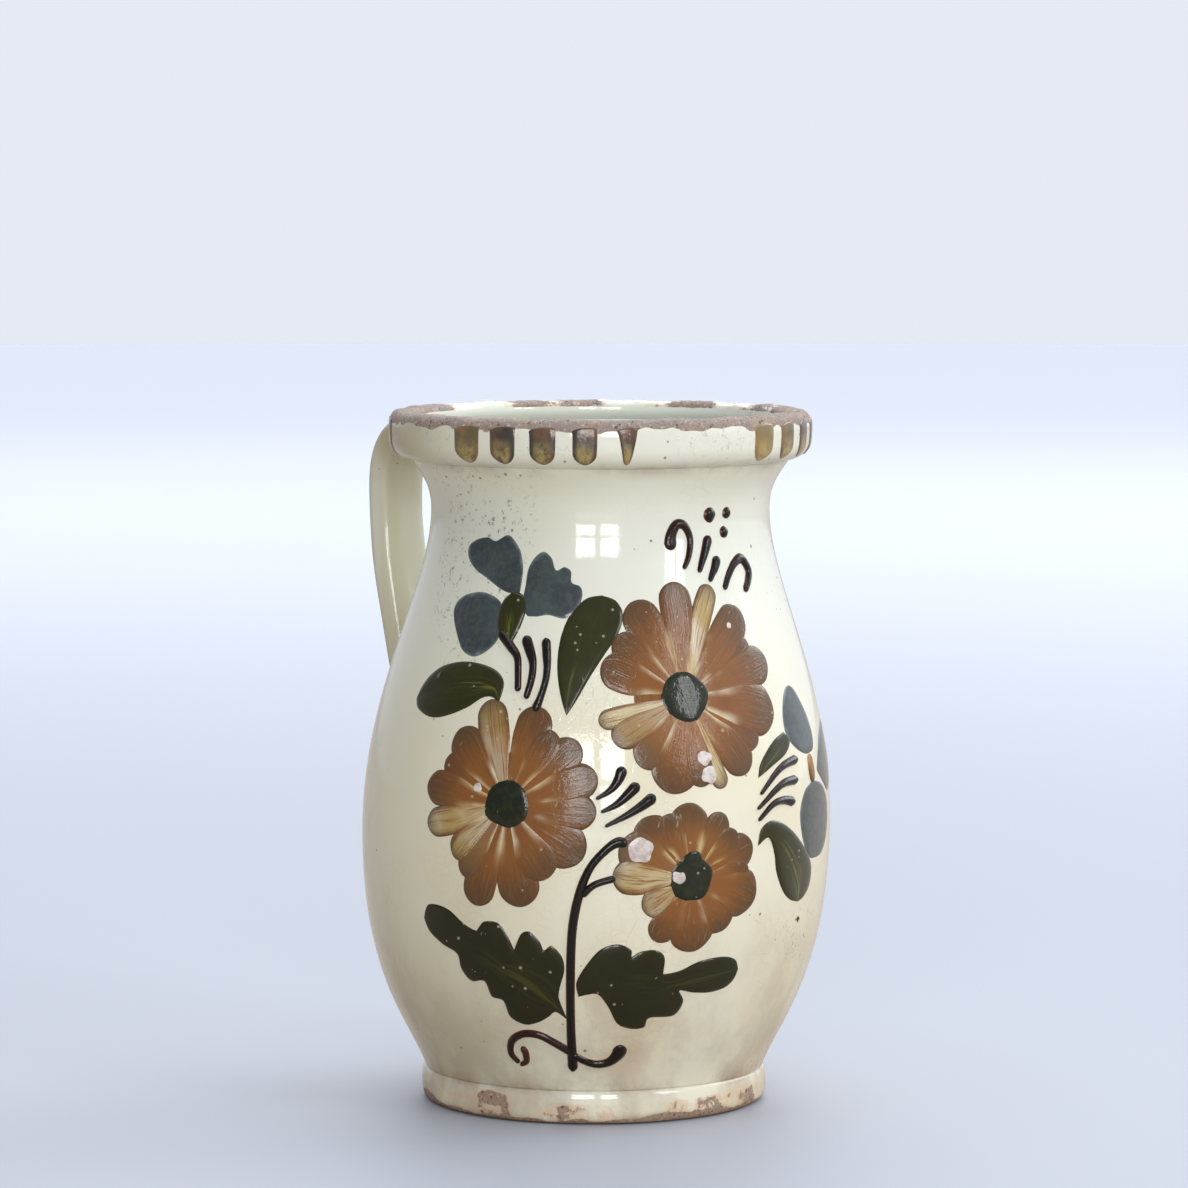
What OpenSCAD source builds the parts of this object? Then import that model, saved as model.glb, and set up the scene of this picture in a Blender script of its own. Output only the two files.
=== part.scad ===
// Slip-trailed earthenware jug: a thrown, glazed body with a strap handle and raised painted flowers.
// Origin at the centre of the base, +Z up, the handle along +Y. Millimetres.

/* [Body] */
// Height of the mouth above the base
jug_h = 210; // [190:1:230]
// Radius of the belly at its widest
belly_r = 71.4; // [66:0.2:76]
// Height of the belly's widest line
belly_z = 84; // [76:1:92]
// Radius of the neck at its narrowest
neck_r = 51.4; // [48:0.2:56]
// Height of the narrowest line of the neck
neck_z = 180; // [172:1:184]
// Thickness of the thrown wall, measured level
wall_t = 5; // [4:0.25:6]

/* [Foot] */
// Height of the foot ring
foot_h = 10; // [8:0.5:12]
// Radius of the foot ring at its fullest
foot_r = 52.8; // [51:0.2:55]
// Thickness of the floor
floor_t = 8; // [6:0.5:9]

/* [Rim] */
// Radius of the rim band's face
rim_r = 63.9; // [60:0.1:68]
// Height of the rim band
rim_h = 15; // [12:0.5:18]

/* [Handle] */
// Width of the strap, measured round the jug
strap_w = 19; // [14:0.5:26]
// Thickness of the strap
strap_t = 10; // [7:0.5:12]
// Reach of the strap's middle line from the jug's axis
strap_reach = 83.5; // [80:0.5:90]

/* [Decoration] */
// Direction of the decoration's middle line, anticlockwise from +X
decor_face = -140; // [-180:1:180]
// Height of the painted petals and leaves above the wall
paint_t = 0.6; // [0.4:0.1:1.2]
// Height of the slip-trailed lines above the wall
trail_t = 1.1; // [0.6:0.1:1.6]
// Half width of a trailed line
trail_w = 1.5; // [1:0.1:2]
// Depth that every deposit is keyed into the wall
key_t = 0.3; // [0.2:0.1:0.5]

/* [Hidden] */
$fn = 96;

glaze = "ivory";
ochre = [0.62, 0.38, 0.14];
olive = [0.20, 0.20, 0.05];
slate = [0.29, 0.34, 0.36];
umber = [0.10, 0.05, 0.02];

curve_steps = 14;
joint_r = 51.6;
floor_r = 46;
cove_r = 43;
rim_bottom_z = jug_h - rim_h;
rim_seat_r = rim_r - 5.9;
lip_inner_r = rim_seat_r - 3.4;
wall_top_z = jug_h - 6;

// ---- Curves ----

function bezier(p, t) = p[0]*pow(1 - t, 3) + 3*p[1]*t*pow(1 - t, 2) + 3*p[2]*t*t*(1 - t) + p[3]*pow(t, 3);
function curve(p, n = curve_steps) = [for (i = [0:n]) bezier(p, i/n)];

// A smooth line through points, as Catmull-Rom spans; p may hold places or plain numbers.
function at_end(p, i) = p[min(max(i, 0), len(p) - 1)];
function through(p, s) =
    let (i = min(floor(s), len(p) - 2), t = s - i,
         a = at_end(p, i - 1), b = p[i], c = p[i + 1], d = at_end(p, i + 2))
    0.5*(2*b + (c - a)*t + (2*a - 5*b + 4*c - d)*t*t + (3*b - a - 3*c + d)*t*t*t);

// ---- Outline of the thrown wall, from the foot to the rim ----

belly_curve = curve([[joint_r, foot_h], [joint_r + 4.4, foot_h + 13], [belly_r, belly_z - 47], [belly_r, belly_z]]);
shoulder_curve = curve([[belly_r, belly_z], [belly_r, belly_z + 42], [neck_r, neck_z - 23], [neck_r, neck_z]], 20);
flare_curve = curve([[neck_r, neck_z], [neck_r, neck_z + 7], [rim_seat_r - 4, rim_bottom_z - 5],
                     [rim_seat_r - 0.6, rim_bottom_z]], 8);

function tail(p) = [for (i = [1:len(p) - 1]) p[i]];
wall_outline = concat(belly_curve, tail(shoulder_curve), tail(flare_curve),
                      [[rim_seat_r, rim_bottom_z + 4], [rim_seat_r, wall_top_z]]);
wall_heights = [for (p = wall_outline) [p.y, p.x]];
function wall_r(z) = lookup(z, wall_heights);

// A place on the wall: a degrees round from the decoration's middle line, z up, h proud of the wall.
function on_wall(a, z, h = 0) =
    let (r = wall_r(z) + h)
    [r*cos(decor_face + a), r*sin(decor_face + a), z];

// ---- Thrown pieces ----

module floor_disc() {
    color(glaze) cylinder(h = floor_t, r = floor_r);
}

module foot_ring() {
    edge_r = 2;
    color(glaze) rotate_extrude() polygon(concat(
        [[floor_r, 0], [foot_r - edge_r, 0]],
        curve([[foot_r - edge_r, 0], [foot_r - 0.6, 0.6], [foot_r, edge_r], [foot_r, foot_h/2]], 6),
        curve([[foot_r, foot_h/2], [foot_r, foot_h - 2], [foot_r - 0.4, foot_h], [joint_r, foot_h]], 4),
        [[floor_r, foot_h]]
    ));
}

module jug_wall() {
    inner = [for (p = wall_outline) if (p.y > foot_h + wall_t) [p.x - wall_t, p.y]];
    lip = len(inner) - 1;
    bore = [for (i = [lip:-1:0]) i >= lip - 1 ? [lip_inner_r, inner[i].y] : inner[i]];
    cove = curve([inner[0], [inner[0].x - 1, floor_t + 3], [cove_r + 3, floor_t], [cove_r, floor_t]], 5);
    color(glaze) rotate_extrude() polygon(concat(
        [[floor_r, floor_t], [floor_r, foot_h]], wall_outline, bore, tail(cove)
    ));
}

module rim_band() {
    lip_w = rim_seat_r - lip_inner_r;
    face_z = rim_bottom_z + 4.5;
    color(glaze) rotate_extrude() polygon(concat(
        [[rim_seat_r - 0.6, rim_bottom_z]],
        tail(curve([[rim_seat_r - 0.6, rim_bottom_z], [rim_r - 3, rim_bottom_z + 1.2],
                    [rim_r - 0.2, rim_bottom_z + 2.5], [rim_r - 0.1, face_z]], 6)),
        curve([[rim_r, face_z + 1], [rim_r + 0.2, jug_h - 5], [rim_r, jug_h - 0.4], [rim_r - 2.6, jug_h]], 6),
        curve([[lip_inner_r + 2.4, jug_h], [lip_inner_r + 0.8, jug_h], [lip_inner_r, jug_h - 1.4],
               [lip_inner_r, jug_h - 3]], 4),
        [[lip_inner_r, wall_top_z], [lip_inner_r + lip_w, wall_top_z], [rim_seat_r, rim_bottom_z + 4]]
    ));
}

// ---- Strap handle ----

// Middle line of the strap in the Y-Z plane: out from the rim, over and down to the belly.
root_y = rim_seat_r + 2;
root_z = jug_h - 8;
strap_top = [[root_y, root_z], [strap_reach - 5.5, root_z + 2], [strap_reach + 0.5, root_z - 4],
             [strap_reach, neck_z]];
strap_side = [[strap_reach, neck_z], [strap_reach, neck_z - 20], [strap_reach - 8, belly_z + 46],
              [belly_r - 4.2, belly_z + 16]];
top_steps = 12;
strap_path = concat(curve(strap_top, top_steps), tail(curve(strap_side, 20)));
strap_sides = 20;

// The section is a rounded oblong, wider where it meets the rim and pressed thin and wide on the belly.
function strap_spread(s) = 1 + 0.16*pow(1 - s, 6) + 0.2*pow(s, 8);
function strap_press(s) = 1 - 0.5*pow(s, 9);
function squared(c) = sign(c)*pow(abs(c), 0.62);
function strap_skin(i, k, grow = 0) =
    let (a = 360*k/strap_sides,
         s = i/(len(strap_path) - 1),
         back = strap_path[max(i - 1, 0)],
         ahead = strap_path[min(i + 1, len(strap_path) - 1)],
         run = (ahead - back)/norm(ahead - back),
         across = (strap_w/2*strap_spread(s) + grow)*squared(cos(a)),
         out = (strap_t/2*strap_press(s) + grow)*squared(sin(a)),
         p = strap_path[i])
    [across, p.x - run.y*out, p.y + run.x*out];

// Closed skin over rings of n points each, with a flat fan at both ends.
module ringed_solid(points, rings, n) {
    wall = [for (i = [0:rings - 2]) for (k = [0:n - 1])
        each [[i*n + k, i*n + (k + 1)%n, (i + 1)*n + k],
              [i*n + (k + 1)%n, (i + 1)*n + (k + 1)%n, (i + 1)*n + k]]];
    last = (rings - 1)*n;
    caps = [for (k = [1:n - 2]) each [[0, k + 1, k], [last, last + k, last + k + 1]]];
    polyhedron(points = points, faces = concat(wall, caps), convexity = 6);
}

// Closed ring round the strap: four corners carried round its section.
module luting_ring(corners) {
    n = strap_sides;
    m = len(corners);
    points = [for (k = [0:n - 1]) for (c = corners) strap_skin(c[0], k, c[1])];
    faces = [for (k = [0:n - 1]) for (j = [0:m - 1])
        let (a = k*m + j, b = k*m + (j + 1)%m, c = ((k + 1)%n)*m + j, d = ((k + 1)%n)*m + (j + 1)%m)
        each [[a, b, c], [b, d, c]]];
    polyhedron(points = points, faces = faces, convexity = 6);
}

module handle_strap() {
    rings = len(strap_path);
    points = [for (i = [0:rings - 1]) for (k = [0:strap_sides - 1]) strap_skin(i, k)];
    color(glaze) ringed_solid(points, rings, strap_sides);
}

module handle_upper_joint() {
    color(glaze) luting_ring([[1, 0], [4, 0], [3, 0.7], [1, 2]]);
}

// A pad of clay smeared on the belly round the pressed end of the strap.
module handle_lower_joint() {
    a = 90 - decor_face;
    color(glaze) stroke([[a, belly_z + 6], [a, belly_z + 14], [a, belly_z + 28], [a, belly_z + 38]],
                        [5, 13, 13, 5], 2.6, 3);
}

// ---- Raised decoration ----

// One brush or trailer stroke laid on the wall: a low domed ribbon along a smooth line of [angle, height]
// places, with a half width at each place and the same number of steps between places.
dome = [[-1, 0], [-0.86, 0.6], [-0.45, 0.93], [0, 1], [0.45, 0.93], [0.86, 0.6], [1, 0]];
module stroke(places, widths, t, steps = 3, teeth = 0) {
    spans = len(places) - 1;
    rings = spans*steps + 1;
    n = len(dome) + 1;
    function mm(a, z) = [a*wall_r(z)*PI/180, z];
    points = [for (i = [0:rings - 1])
        let (s = i/steps,
             p = through(places, s),
             q = through(places, min(s + 0.05, spans)) - through(places, max(s - 0.05, 0)),
             run = mm(q.x, p.y),
             dir = [run.x, q.y]/norm([run.x, q.y]),
             half = max(through(widths, s), 0.3)*(1 + teeth*cos(360*s*1.5)),
             deg = 180/(PI*wall_r(p.y)))
        each concat(
            [for (d = dome) on_wall(p.x - dir.y*half*d.x*deg, p.y + dir.x*half*d.x, d.y*t + (d.y - 1)*key_t)],
            [on_wall(p.x, p.y, -key_t)])];
    ringed_solid(points, rings, n);
}

// A round dab: the same dome turned about its middle.
module dab(a, z, r, t, sides = 16) {
    rings = [[1, 0], [0.8, 0.65], [0.4, 0.95]];
    deg = 180/(PI*wall_r(z));
    function rim_spot(k, f, h) = on_wall(a + r*f*cos(360*k/sides)*deg, z + r*f*sin(360*k/sides), h);
    points = concat(
        [on_wall(a, z, -key_t)],
        [for (g = rings) for (k = [0:sides - 1]) rim_spot(k, g[0], g[1]*t + (g[1] - 1)*key_t)],
        [on_wall(a, z, t)]);
    top = len(points) - 1;
    m = len(rings);
    faces = concat(
        [for (k = [0:sides - 1]) [0, 1 + k, 1 + (k + 1)%sides]],
        [for (g = [0:m - 2]) for (k = [0:sides - 1])
            let (a = 1 + g*sides + k, b = 1 + g*sides + (k + 1)%sides)
            each [[a, a + sides, b], [b, a + sides, b + sides]]],
        [for (k = [0:sides - 1]) [1 + (m - 1)*sides + k, top, 1 + (m - 1)*sides + (k + 1)%sides]]);
    polyhedron(points = points, faces = faces, convexity = 4);
}

// A ring of brushed petals round an eye: a scalloped washer that follows the wall.
module petal_ring(a, z, r, hole_r, petals) {
    sides = petals*6;
    levels = [[0, 0.7], [0.35, 1], [0.75, 1], [0.94, 0.7], [1, 0], [0.5, 0]];
    deg = 180/(PI*wall_r(z));
    m = len(levels);
    points = [for (k = [0:sides - 1])
        let (turn = 360*k/sides, tip = r*(0.86 + 0.14*sqrt(abs(cos(turn*petals/2)))))
        for (i = [0:m - 1])
            let (f = i == m - 1 ? 0 : levels[i][0], g = i == m - 1 ? 0 : levels[i][1],
                 d = hole_r + (tip - hole_r)*f)
            on_wall(a + d*cos(turn)*deg, z + d*sin(turn), g*paint_t + (g - 1)*key_t)];
    faces = [for (k = [0:sides - 1]) for (j = [0:m - 1])
        let (a = k*m + j, b = k*m + (j + 1)%m, c = ((k + 1)%sides)*m + j, d = ((k + 1)%sides)*m + (j + 1)%m)
        each [[a, c, b], [b, c, d]]];
    polyhedron(points = points, faces = faces, convexity = 8);
}

eye_gap = 0.2;
module rosette(place, r, eye_r, petals) {
    color(ochre) petal_ring(place.x, place.y, r, eye_r + eye_gap, petals);
}
module rosette_eye(place, eye_r) {
    color(olive) dab(place.x, place.y, eye_r, paint_t + 0.3, 20);
}

rosette_upper = [24, 129];
rosette_left = [-22, 98];
rosette_lower = [23, 75.5];

module rosette_upper_petals() { rosette(rosette_upper, 31, 7.2, 13); }
module rosette_upper_eye() { rosette_eye(rosette_upper, 7.2); }
module rosette_left_petals() { rosette(rosette_left, 29, 6.6, 12); }
module rosette_left_eye() { rosette_eye(rosette_left, 6.6); }
module rosette_lower_petals() { rosette(rosette_lower, 22.5, 6.7, 9); }
module rosette_lower_eye() { rosette_eye(rosette_lower, 6.7); }

module bluet_left_petals() {
    color(slate) {
        stroke([[-29, 160], [-36, 167], [-42, 172]], [4, 8, 6], paint_t);
        stroke([[-24, 159], [-15, 162], [-7, 163]], [3.5, 8.5, 9], paint_t);
        stroke([[-32, 155], [-39, 150], [-44, 143]], [4, 7.5, 5.5], paint_t);
    }
}

module bluet_left_bud() {
    color(olive) stroke([[-28.5, 158], [-27.5, 152], [-24.5, 145]], [2.5, 4.5, 1.2], paint_t);
}

module bluet_right_petals() {
    color(slate) {
        stroke([[64, 110], [63, 119], [62, 127]], [3, 5.5, 4], paint_t);
        stroke([[69, 106], [78, 109], [86, 110]], [3, 7, 6], paint_t);
        stroke([[66, 98], [68, 90], [69, 80]], [3, 5.5, 4], paint_t);
    }
}

module bluet_right_eye() {
    color(ochre) stroke([[65.5, 107], [66.3, 104], [66.5, 100.5]], [1, 2, 1], paint_t);
}

module leaf_bean_left() {
    color(olive) stroke([[-54, 128], [-48, 129], [-40, 130], [-33, 130.5], [-27, 129]], [3, 7.6, 8.2, 6.4, 1.5],
                        paint_t);
}

module leaf_teardrop() {
    color(olive) stroke([[1.5, 156.5], [-1, 150], [-4, 141], [-7, 132], [-8.4, 124]], [3, 7.6, 7.2, 4, 0.8],
                        paint_t);
}

module leaf_sliver_right() {
    color(olive) stroke([[55.5, 113.5], [50, 110], [43, 104.5]], [2, 2.8, 0.8], paint_t);
}

module leaf_bean_right() {
    color(olive) stroke([[42.5, 86], [49, 85], [55, 78], [58.5, 71], [60, 65.5]], [1.5, 5, 8, 8, 3.5], paint_t);
}

module leaf_toothed_left() {
    color(olive) stroke([[-46, 63.5], [-36, 57], [-27, 50], [-17, 44], [-8.5, 35]], [3, 6, 9, 11, 2.5], paint_t,
                        4, 0.14);
}

module leaf_toothed_right() {
    color(olive) stroke([[-3, 41], [6, 43], [15, 43], [26, 46], [37.5, 47]], [3.5, 11, 9.5, 5, 2.5], paint_t,
                        4, 0.14);
}

module trail(places, widths) { stroke(places, widths, trail_t, 2); }

module trailed_stem() {
    w = trail_w;
    color(umber) {
        trail([[-6.6, 17.5], [-6.5, 29], [-6.2, 45], [-5.6, 61], [-3.9, 72], [-1.5, 80], [2.4, 85], [6.3, 86.3]],
              [w + 0.3, w, w, w, w, w - 0.2, w, w + 0.3]);
        trail([[-3.4, 71.5], [0, 74.6], [4.3, 76.2]], [w - 0.2, w - 0.3, w - 0.4]);
    }
}

module trailed_scroll() {
    w = trail_w;
    color(umber) {
        trail([[-6.8, 22.4], [-11.6, 25.7], [-16, 28], [-20.5, 28], [-24.4, 25.4], [-25.3, 21.5], [-23.2, 18.9]],
              [w, w, w, w, w, w - 0.3, w - 0.8]);
        trail([[-21.2, 23.4], [-20.9, 21.2], [-20.4, 19]], [w - 0.3, w - 0.2, w - 0.6]);
        trail([[-6, 21.8], [-2.5, 19.6], [1, 18.7], [4.6, 19.6], [7, 22], [7.9, 24.5]],
              [w, w - 0.2, w - 0.1, w + 0.2, w + 0.7, w + 1]);
    }
}

// A comma: a round head that thins along a curve to its tail.
module comma(places, head = 1.9, tail_w = 0.5) {
    n = len(places) - 1;
    trail(places, [for (i = [0:n]) head + (tail_w - head)*i/n]);
}

module trailed_tendrils_left() {
    color(umber) {
        comma([[-29, 146], [-24.4, 141.6], [-22.3, 135.6], [-21.7, 130]], 1.3, 0.8);
        comma([[-21.3, 145], [-18.9, 140], [-18.2, 134.5], [-19.2, 128.7]], 1.4, 0.8);
        comma([[-15.5, 144.6], [-14.3, 138], [-14.5, 132], [-16.4, 125.5]], 1.4, 1.2);
    }
}

module trailed_commas_mid() {
    color(umber) {
        comma([[5.5, 108], [3.4, 103.4], [0.5, 100.2]]);
        comma([[9.1, 103.3], [5.8, 99], [1.7, 96.2]]);
        comma([[13.2, 99.7], [8.4, 95.6], [2.7, 91.8]]);
    }
}

module trailed_commas_right() {
    color(umber) {
        comma([[58, 107], [49, 104], [43.3, 99]], 1.4, 0.8);
        comma([[57, 101], [48.4, 99], [42, 94.8]], 1.4, 0.8);
        comma([[55, 95], [48, 95], [42.3, 91.2]], 1.4, 0.8);
    }
}

module trailed_crest_commas() {
    color(umber) {
        trail([[24.1, 171.6], [25.6, 176.4], [28.6, 177.8], [30.8, 174], [29.9, 168.8], [27.7, 165.4]],
              [2.2, 1.7, 1.2, 1.3, 1.1, 0.5]);
        comma([[38.2, 173.4], [35.6, 168.6], [33.2, 164.6]]);
        comma([[41, 167.4], [38.8, 164.4], [37, 161.8]]);
        trail([[42.6, 159.2], [48.4, 165.2], [53.2, 166.2], [54.9, 162.8], [51.4, 158]],
              [0.5, 1.2, 1.8, 1.5, 1]);
    }
}

module trailed_crest_dots() {
    color(umber) {
        dab(39.2, 180.5, 2.4, trail_t);
        dab(47, 180.7, 1.9, trail_t);
        dab(45.4, 175.2, 1.9, trail_t);
    }
}

// Four groups of five short strokes hang over the rim band, a quarter turn apart.
stroke_pitch = 11.3;
group_size = 5;
first_group = 60;
module rim_strokes() {
    half_w = 3.6;
    top_z = jug_h - 2;
    low_z = rim_bottom_z + 5.5;
    function rim_spot(a, z, h) = [(rim_r + h)*cos(a), (rim_r + h)*sin(a), z];
    t = 0.5;
    rows = [[low_z, 0.45], [low_z + 2, 0.85], [top_z - 2, 1], [top_z, 1]];
    bow = [[-1, -key_t], [-0.8, t], [0, t], [0.8, t], [1, -key_t], [0, -key_t]];
    color(umber) for (g = [0:3]) for (k = [0:group_size - 1]) {
        mid = decor_face + first_group + 90*g + (k - (group_size - 1)/2)*stroke_pitch + 15;
        points = [for (row = rows) for (b = bow)
            rim_spot(mid + b.x*half_w*row[1]*180/(PI*rim_r), row[0], b.y)];
        ringed_solid(points, len(rows), len(bow));
    }
}

floor_disc();
foot_ring();
jug_wall();
rim_band();
handle_strap();
handle_upper_joint();
handle_lower_joint();
rosette_upper_petals();
rosette_upper_eye();
rosette_left_petals();
rosette_left_eye();
rosette_lower_petals();
rosette_lower_eye();
bluet_left_petals();
bluet_left_bud();
bluet_right_petals();
bluet_right_eye();
leaf_bean_left();
leaf_teardrop();
leaf_sliver_right();
leaf_bean_right();
leaf_toothed_left();
leaf_toothed_right();
trailed_stem();
trailed_scroll();
trailed_tendrils_left();
trailed_commas_mid();
trailed_commas_right();
trailed_crest_commas();
trailed_crest_dots();
rim_strokes();
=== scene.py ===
"""Looks of a slip-trailed earthenware jug: thrown ivory body, pulled strap and raised painted flowers.

Lengths inside the functions are millimetres; places become metres when a surface is settled. A place on the
jug is an angle in degrees, anticlockwise from the decoration's middle line, and a height above the base.
"""

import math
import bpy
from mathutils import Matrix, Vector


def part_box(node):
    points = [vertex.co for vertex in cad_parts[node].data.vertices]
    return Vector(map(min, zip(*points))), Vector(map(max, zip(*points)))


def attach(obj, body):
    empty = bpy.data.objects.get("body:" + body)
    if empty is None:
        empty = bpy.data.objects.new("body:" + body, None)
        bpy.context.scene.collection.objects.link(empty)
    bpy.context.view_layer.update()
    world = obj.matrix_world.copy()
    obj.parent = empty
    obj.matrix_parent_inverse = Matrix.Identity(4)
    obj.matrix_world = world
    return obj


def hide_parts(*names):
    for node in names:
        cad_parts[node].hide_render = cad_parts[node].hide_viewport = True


bl_info = {
    "name": "Slip-trailed jug",
    "version": (1, 0, 0),
    "blender": (4, 5, 0),
    "location": "View3D > Sidebar > Jug",
    "description": "Throws, glazes and paints an earthenware jug around its packed frame",
    "category": "Add Mesh",
}

import bpy
import numpy as np
from bpy.props import FloatProperty, FloatVectorProperty, IntProperty, PointerProperty
from mathutils import Vector

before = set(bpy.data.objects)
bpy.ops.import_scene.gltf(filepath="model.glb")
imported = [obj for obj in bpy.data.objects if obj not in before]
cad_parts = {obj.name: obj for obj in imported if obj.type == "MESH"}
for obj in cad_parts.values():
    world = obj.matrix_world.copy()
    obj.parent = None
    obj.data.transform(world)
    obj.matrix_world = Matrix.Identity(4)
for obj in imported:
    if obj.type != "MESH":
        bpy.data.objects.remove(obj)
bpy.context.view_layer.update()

MM = 0.001
BODY = "root"


def span(node, axis):
    """Highest coordinate of a CAD node along one axis, in millimetres."""
    return round(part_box(node)[1][axis] / MM, 2)


def swatch(red, green, blue):
    """An eight-bit colour swatch as linear light."""
    parts = np.array([red, green, blue]) / 255
    linear = np.where(parts <= 0.04045, parts / 12.92, ((parts + 0.055) / 1.055) ** 2.4)
    return tuple(float(part) for part in linear)


# ---------------------------------------------------------------------------------------------------------
# Settings
# ---------------------------------------------------------------------------------------------------------


def length(name, about, value, low, high):
    return FloatProperty(name=name, description=about, default=value, min=low, max=high)


def colour(name, about, value):
    return FloatVectorProperty(name=name, description=about, default=value, subtype="COLOR", min=0, max=1)


class JugForm(bpy.types.PropertyGroup):
    """Sizes of the thrown and pulled clay, in millimetres."""

    jug_height: length("Jug height", "Height of the mouth", span("rim_band", 2), 190, 230)
    belly_radius: length("Belly radius", "Radius at the widest line", span("jug_wall", 0), 66, 76)
    belly_height: length("Belly height", "Height of the widest line", 84, 76, 92)
    neck_radius: length("Neck radius", "Radius at the narrowest line", 51.4, 48, 56)
    neck_height: length("Neck height", "Height of the narrowest line", 180, 172, 184)
    wall: length("Wall", "Thickness of the thrown wall", 5, 4, 6)
    foot_height: length("Foot height", "Height of the foot ring", span("foot_ring", 2), 8, 12)
    foot_radius: length("Foot radius", "Radius of the foot ring", span("foot_ring", 0), 51, 55)
    rim_radius: length("Rim radius", "Radius of the rim band's face", 63.9, 60, 68)
    rim_height: length("Rim height", "Height of the rim band", 15, 12, 18)
    strap_width: length("Strap width", "Width of the handle strap", 19, 14, 26)
    strap_depth: length("Strap depth", "Thickness of the handle strap", 10, 7, 12)
    strap_reach: length("Strap reach", "Reach of the strap's middle line from the axis", 83.5, 80, 90)
    decor_face: length("Decoration face", "Direction of the decoration's middle line, degrees",
                       -140, -180, 180)
    lean: length("Lean", "How far the neck leans off the axis", 1.8, 0, 3)
    hand: length("Throwing marks", "Depth of the ripple left by the hand", 0.22, 0, 0.6)
    around: IntProperty(name="Facets", description="Facets round the body", default=360, min=96, max=480)


class JugPaint(bpy.types.PropertyGroup):
    """Colours and heights of the glaze, the brushed paint and the trailed slip."""

    ivory: colour("Ivory", "Glaze where it lies even", swatch(231, 228, 209))
    ivory_deep: colour("Deep ivory", "Glaze where it pools", swatch(227, 219, 190))
    # This colour also paints shade: in the crease under the rim band, round the foot's crease and inside the
    # jug.
    grime_and_shade: colour("Grime", "Dirt low on the body and in the crease", swatch(128, 104, 78))
    tan: colour("Tan", "Olive-beige cast of handled glaze", swatch(176, 166, 128))
    clay: colour("Clay", "Fired clay where the glaze has worn off", swatch(168, 138, 114))
    clay_pale: colour("Worn clay", "Clay polished grey by handling", swatch(146, 134, 124))
    ochre: colour("Ochre", "Petals near the eye", swatch(132, 82, 34))
    ochre_tip: colour("Ochre tip", "Petals near their tips", swatch(86, 62, 36))
    straw: colour("Straw", "Thin yellow wash between the petals", swatch(194, 168, 102))
    olive: colour("Olive", "Leaves", swatch(42, 42, 10))
    olive_thin: colour("Thin olive", "Leaves where the paint is thin", swatch(104, 104, 36))
    eye: colour("Eye", "Flower eyes", swatch(24, 28, 15))
    slate: colour("Slate", "Blue-grey petals", swatch(66, 74, 74))
    slate_thin: colour("Thin slate", "Blue-grey petals at their edges", swatch(126, 142, 142))
    umber: colour("Umber", "Trailed lines", swatch(16, 8, 5))
    rust: colour("Rust", "Edges of the trailed lines", swatch(120, 58, 24))
    paint_height: length("Paint height", "Height of brushed paint above the wall", 0.42, 0.2, 1)
    trail_height: length("Trail height", "Height of a trailed line above the wall", 1.0, 0.5, 1.6)
    trail_width: length("Trail half width", "Half the width of a trailed line", 1.5, 1, 2)
    key: length("Key", "Depth that a deposit is keyed into the wall", 0.25, 0.1, 0.5)


class JugStage(bpy.types.PropertyGroup):
    """The room: camera, windows and floor."""

    distance: length("Camera distance", "Metres from the jug's axis", 1.603, 1, 4)
    height: length("Camera height", "Metres above the floor", 0.2913, 0.1, 1)
    azimuth: length("Camera azimuth", "Degrees round the jug", -50, -180, 180)
    pitch: length("Camera pitch", "Degrees down", 4.91, 0, 30)
    lens: length("Lens", "Focal length", 160.4, 35, 300)
    window: length("Window brightness", "Radiance of the window panes", 8.0, 0, 40)
    room: length("Room brightness", "Radiance of the pale wall behind the jug", 0.95, 0, 4)
    gloom: length("Gloom", "Radiance of the darker room behind the camera", 0.42, 0, 4)
    backdrop: length("Backdrop", "Radiance of the plain backdrop", 0.97, 0, 4)
    ceiling: length("Ceiling", "Radiance overhead", 2.4, 0, 4)
    sky: colour("Room light", "Pale cool light from the room", swatch(233, 237, 246))
    floor: colour("Floor", "Plain pale floor near the jug", swatch(172, 176, 185))
    floor_far: colour("Far floor", "Plain pale floor far from the jug", swatch(228, 232, 241))
    bounce: colour("Bounce", "Light that the floor throws back on the jug", swatch(158, 148, 136))


# ---------------------------------------------------------------------------------------------------------
# Curves and surfaces
# ---------------------------------------------------------------------------------------------------------


def bezier(points, count):
    """Cubic Bezier through count + 1 even steps: p0(1-t)^3 + 3 p1 t(1-t)^2 + 3 p2 t^2(1-t) + p3 t^3."""
    t = np.linspace(0, 1, count + 1)[:, None]
    p = np.array(points, float)
    return p[0] * (1 - t) ** 3 + 3 * p[1] * t * (1 - t) ** 2 + 3 * p[2] * t**2 * (1 - t) + p[3] * t**3


def through(points, t):
    """Catmull-Rom line through the points, with t from 0 at the first to 1 at the last."""
    p = np.array(points, float)
    if p.ndim == 1:
        p = p[:, None]
    last = len(p) - 1
    at = np.clip(np.asarray(t, float), 0, 1) * last
    i = np.minimum(at.astype(int), last - 1)
    f = (at - i)[..., None]
    a = p[np.maximum(i - 1, 0)]
    b = p[i]
    c = p[i + 1]
    d = p[np.minimum(i + 2, last)]
    line = 0.5 * (2 * b + (c - a) * f + (2 * a - 5 * b + 4 * c - d) * f**2 + (3 * b - a - 3 * c + d) * f**3)
    return line[..., 0] if line.shape[-1] == 1 else line


def smooth(x):
    """Smooth step: 0 below 0, 1 above 1, 3x^2 - 2x^3 between."""
    x = np.clip(x, 0, 1)
    return x * x * (3 - 2 * x)


def waves(turn, seed, low, high, count=16):
    """Sum of sine waves round the jug with whole numbers of cycles from low to high and random phases."""
    rng = np.random.default_rng(seed)
    cycles = rng.integers(low, high + 1, count)
    phase = rng.uniform(0, 2 * np.pi, count)
    return np.sin(np.asarray(turn)[..., None] * cycles + phase).sum(-1) / math.sqrt(count)


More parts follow.
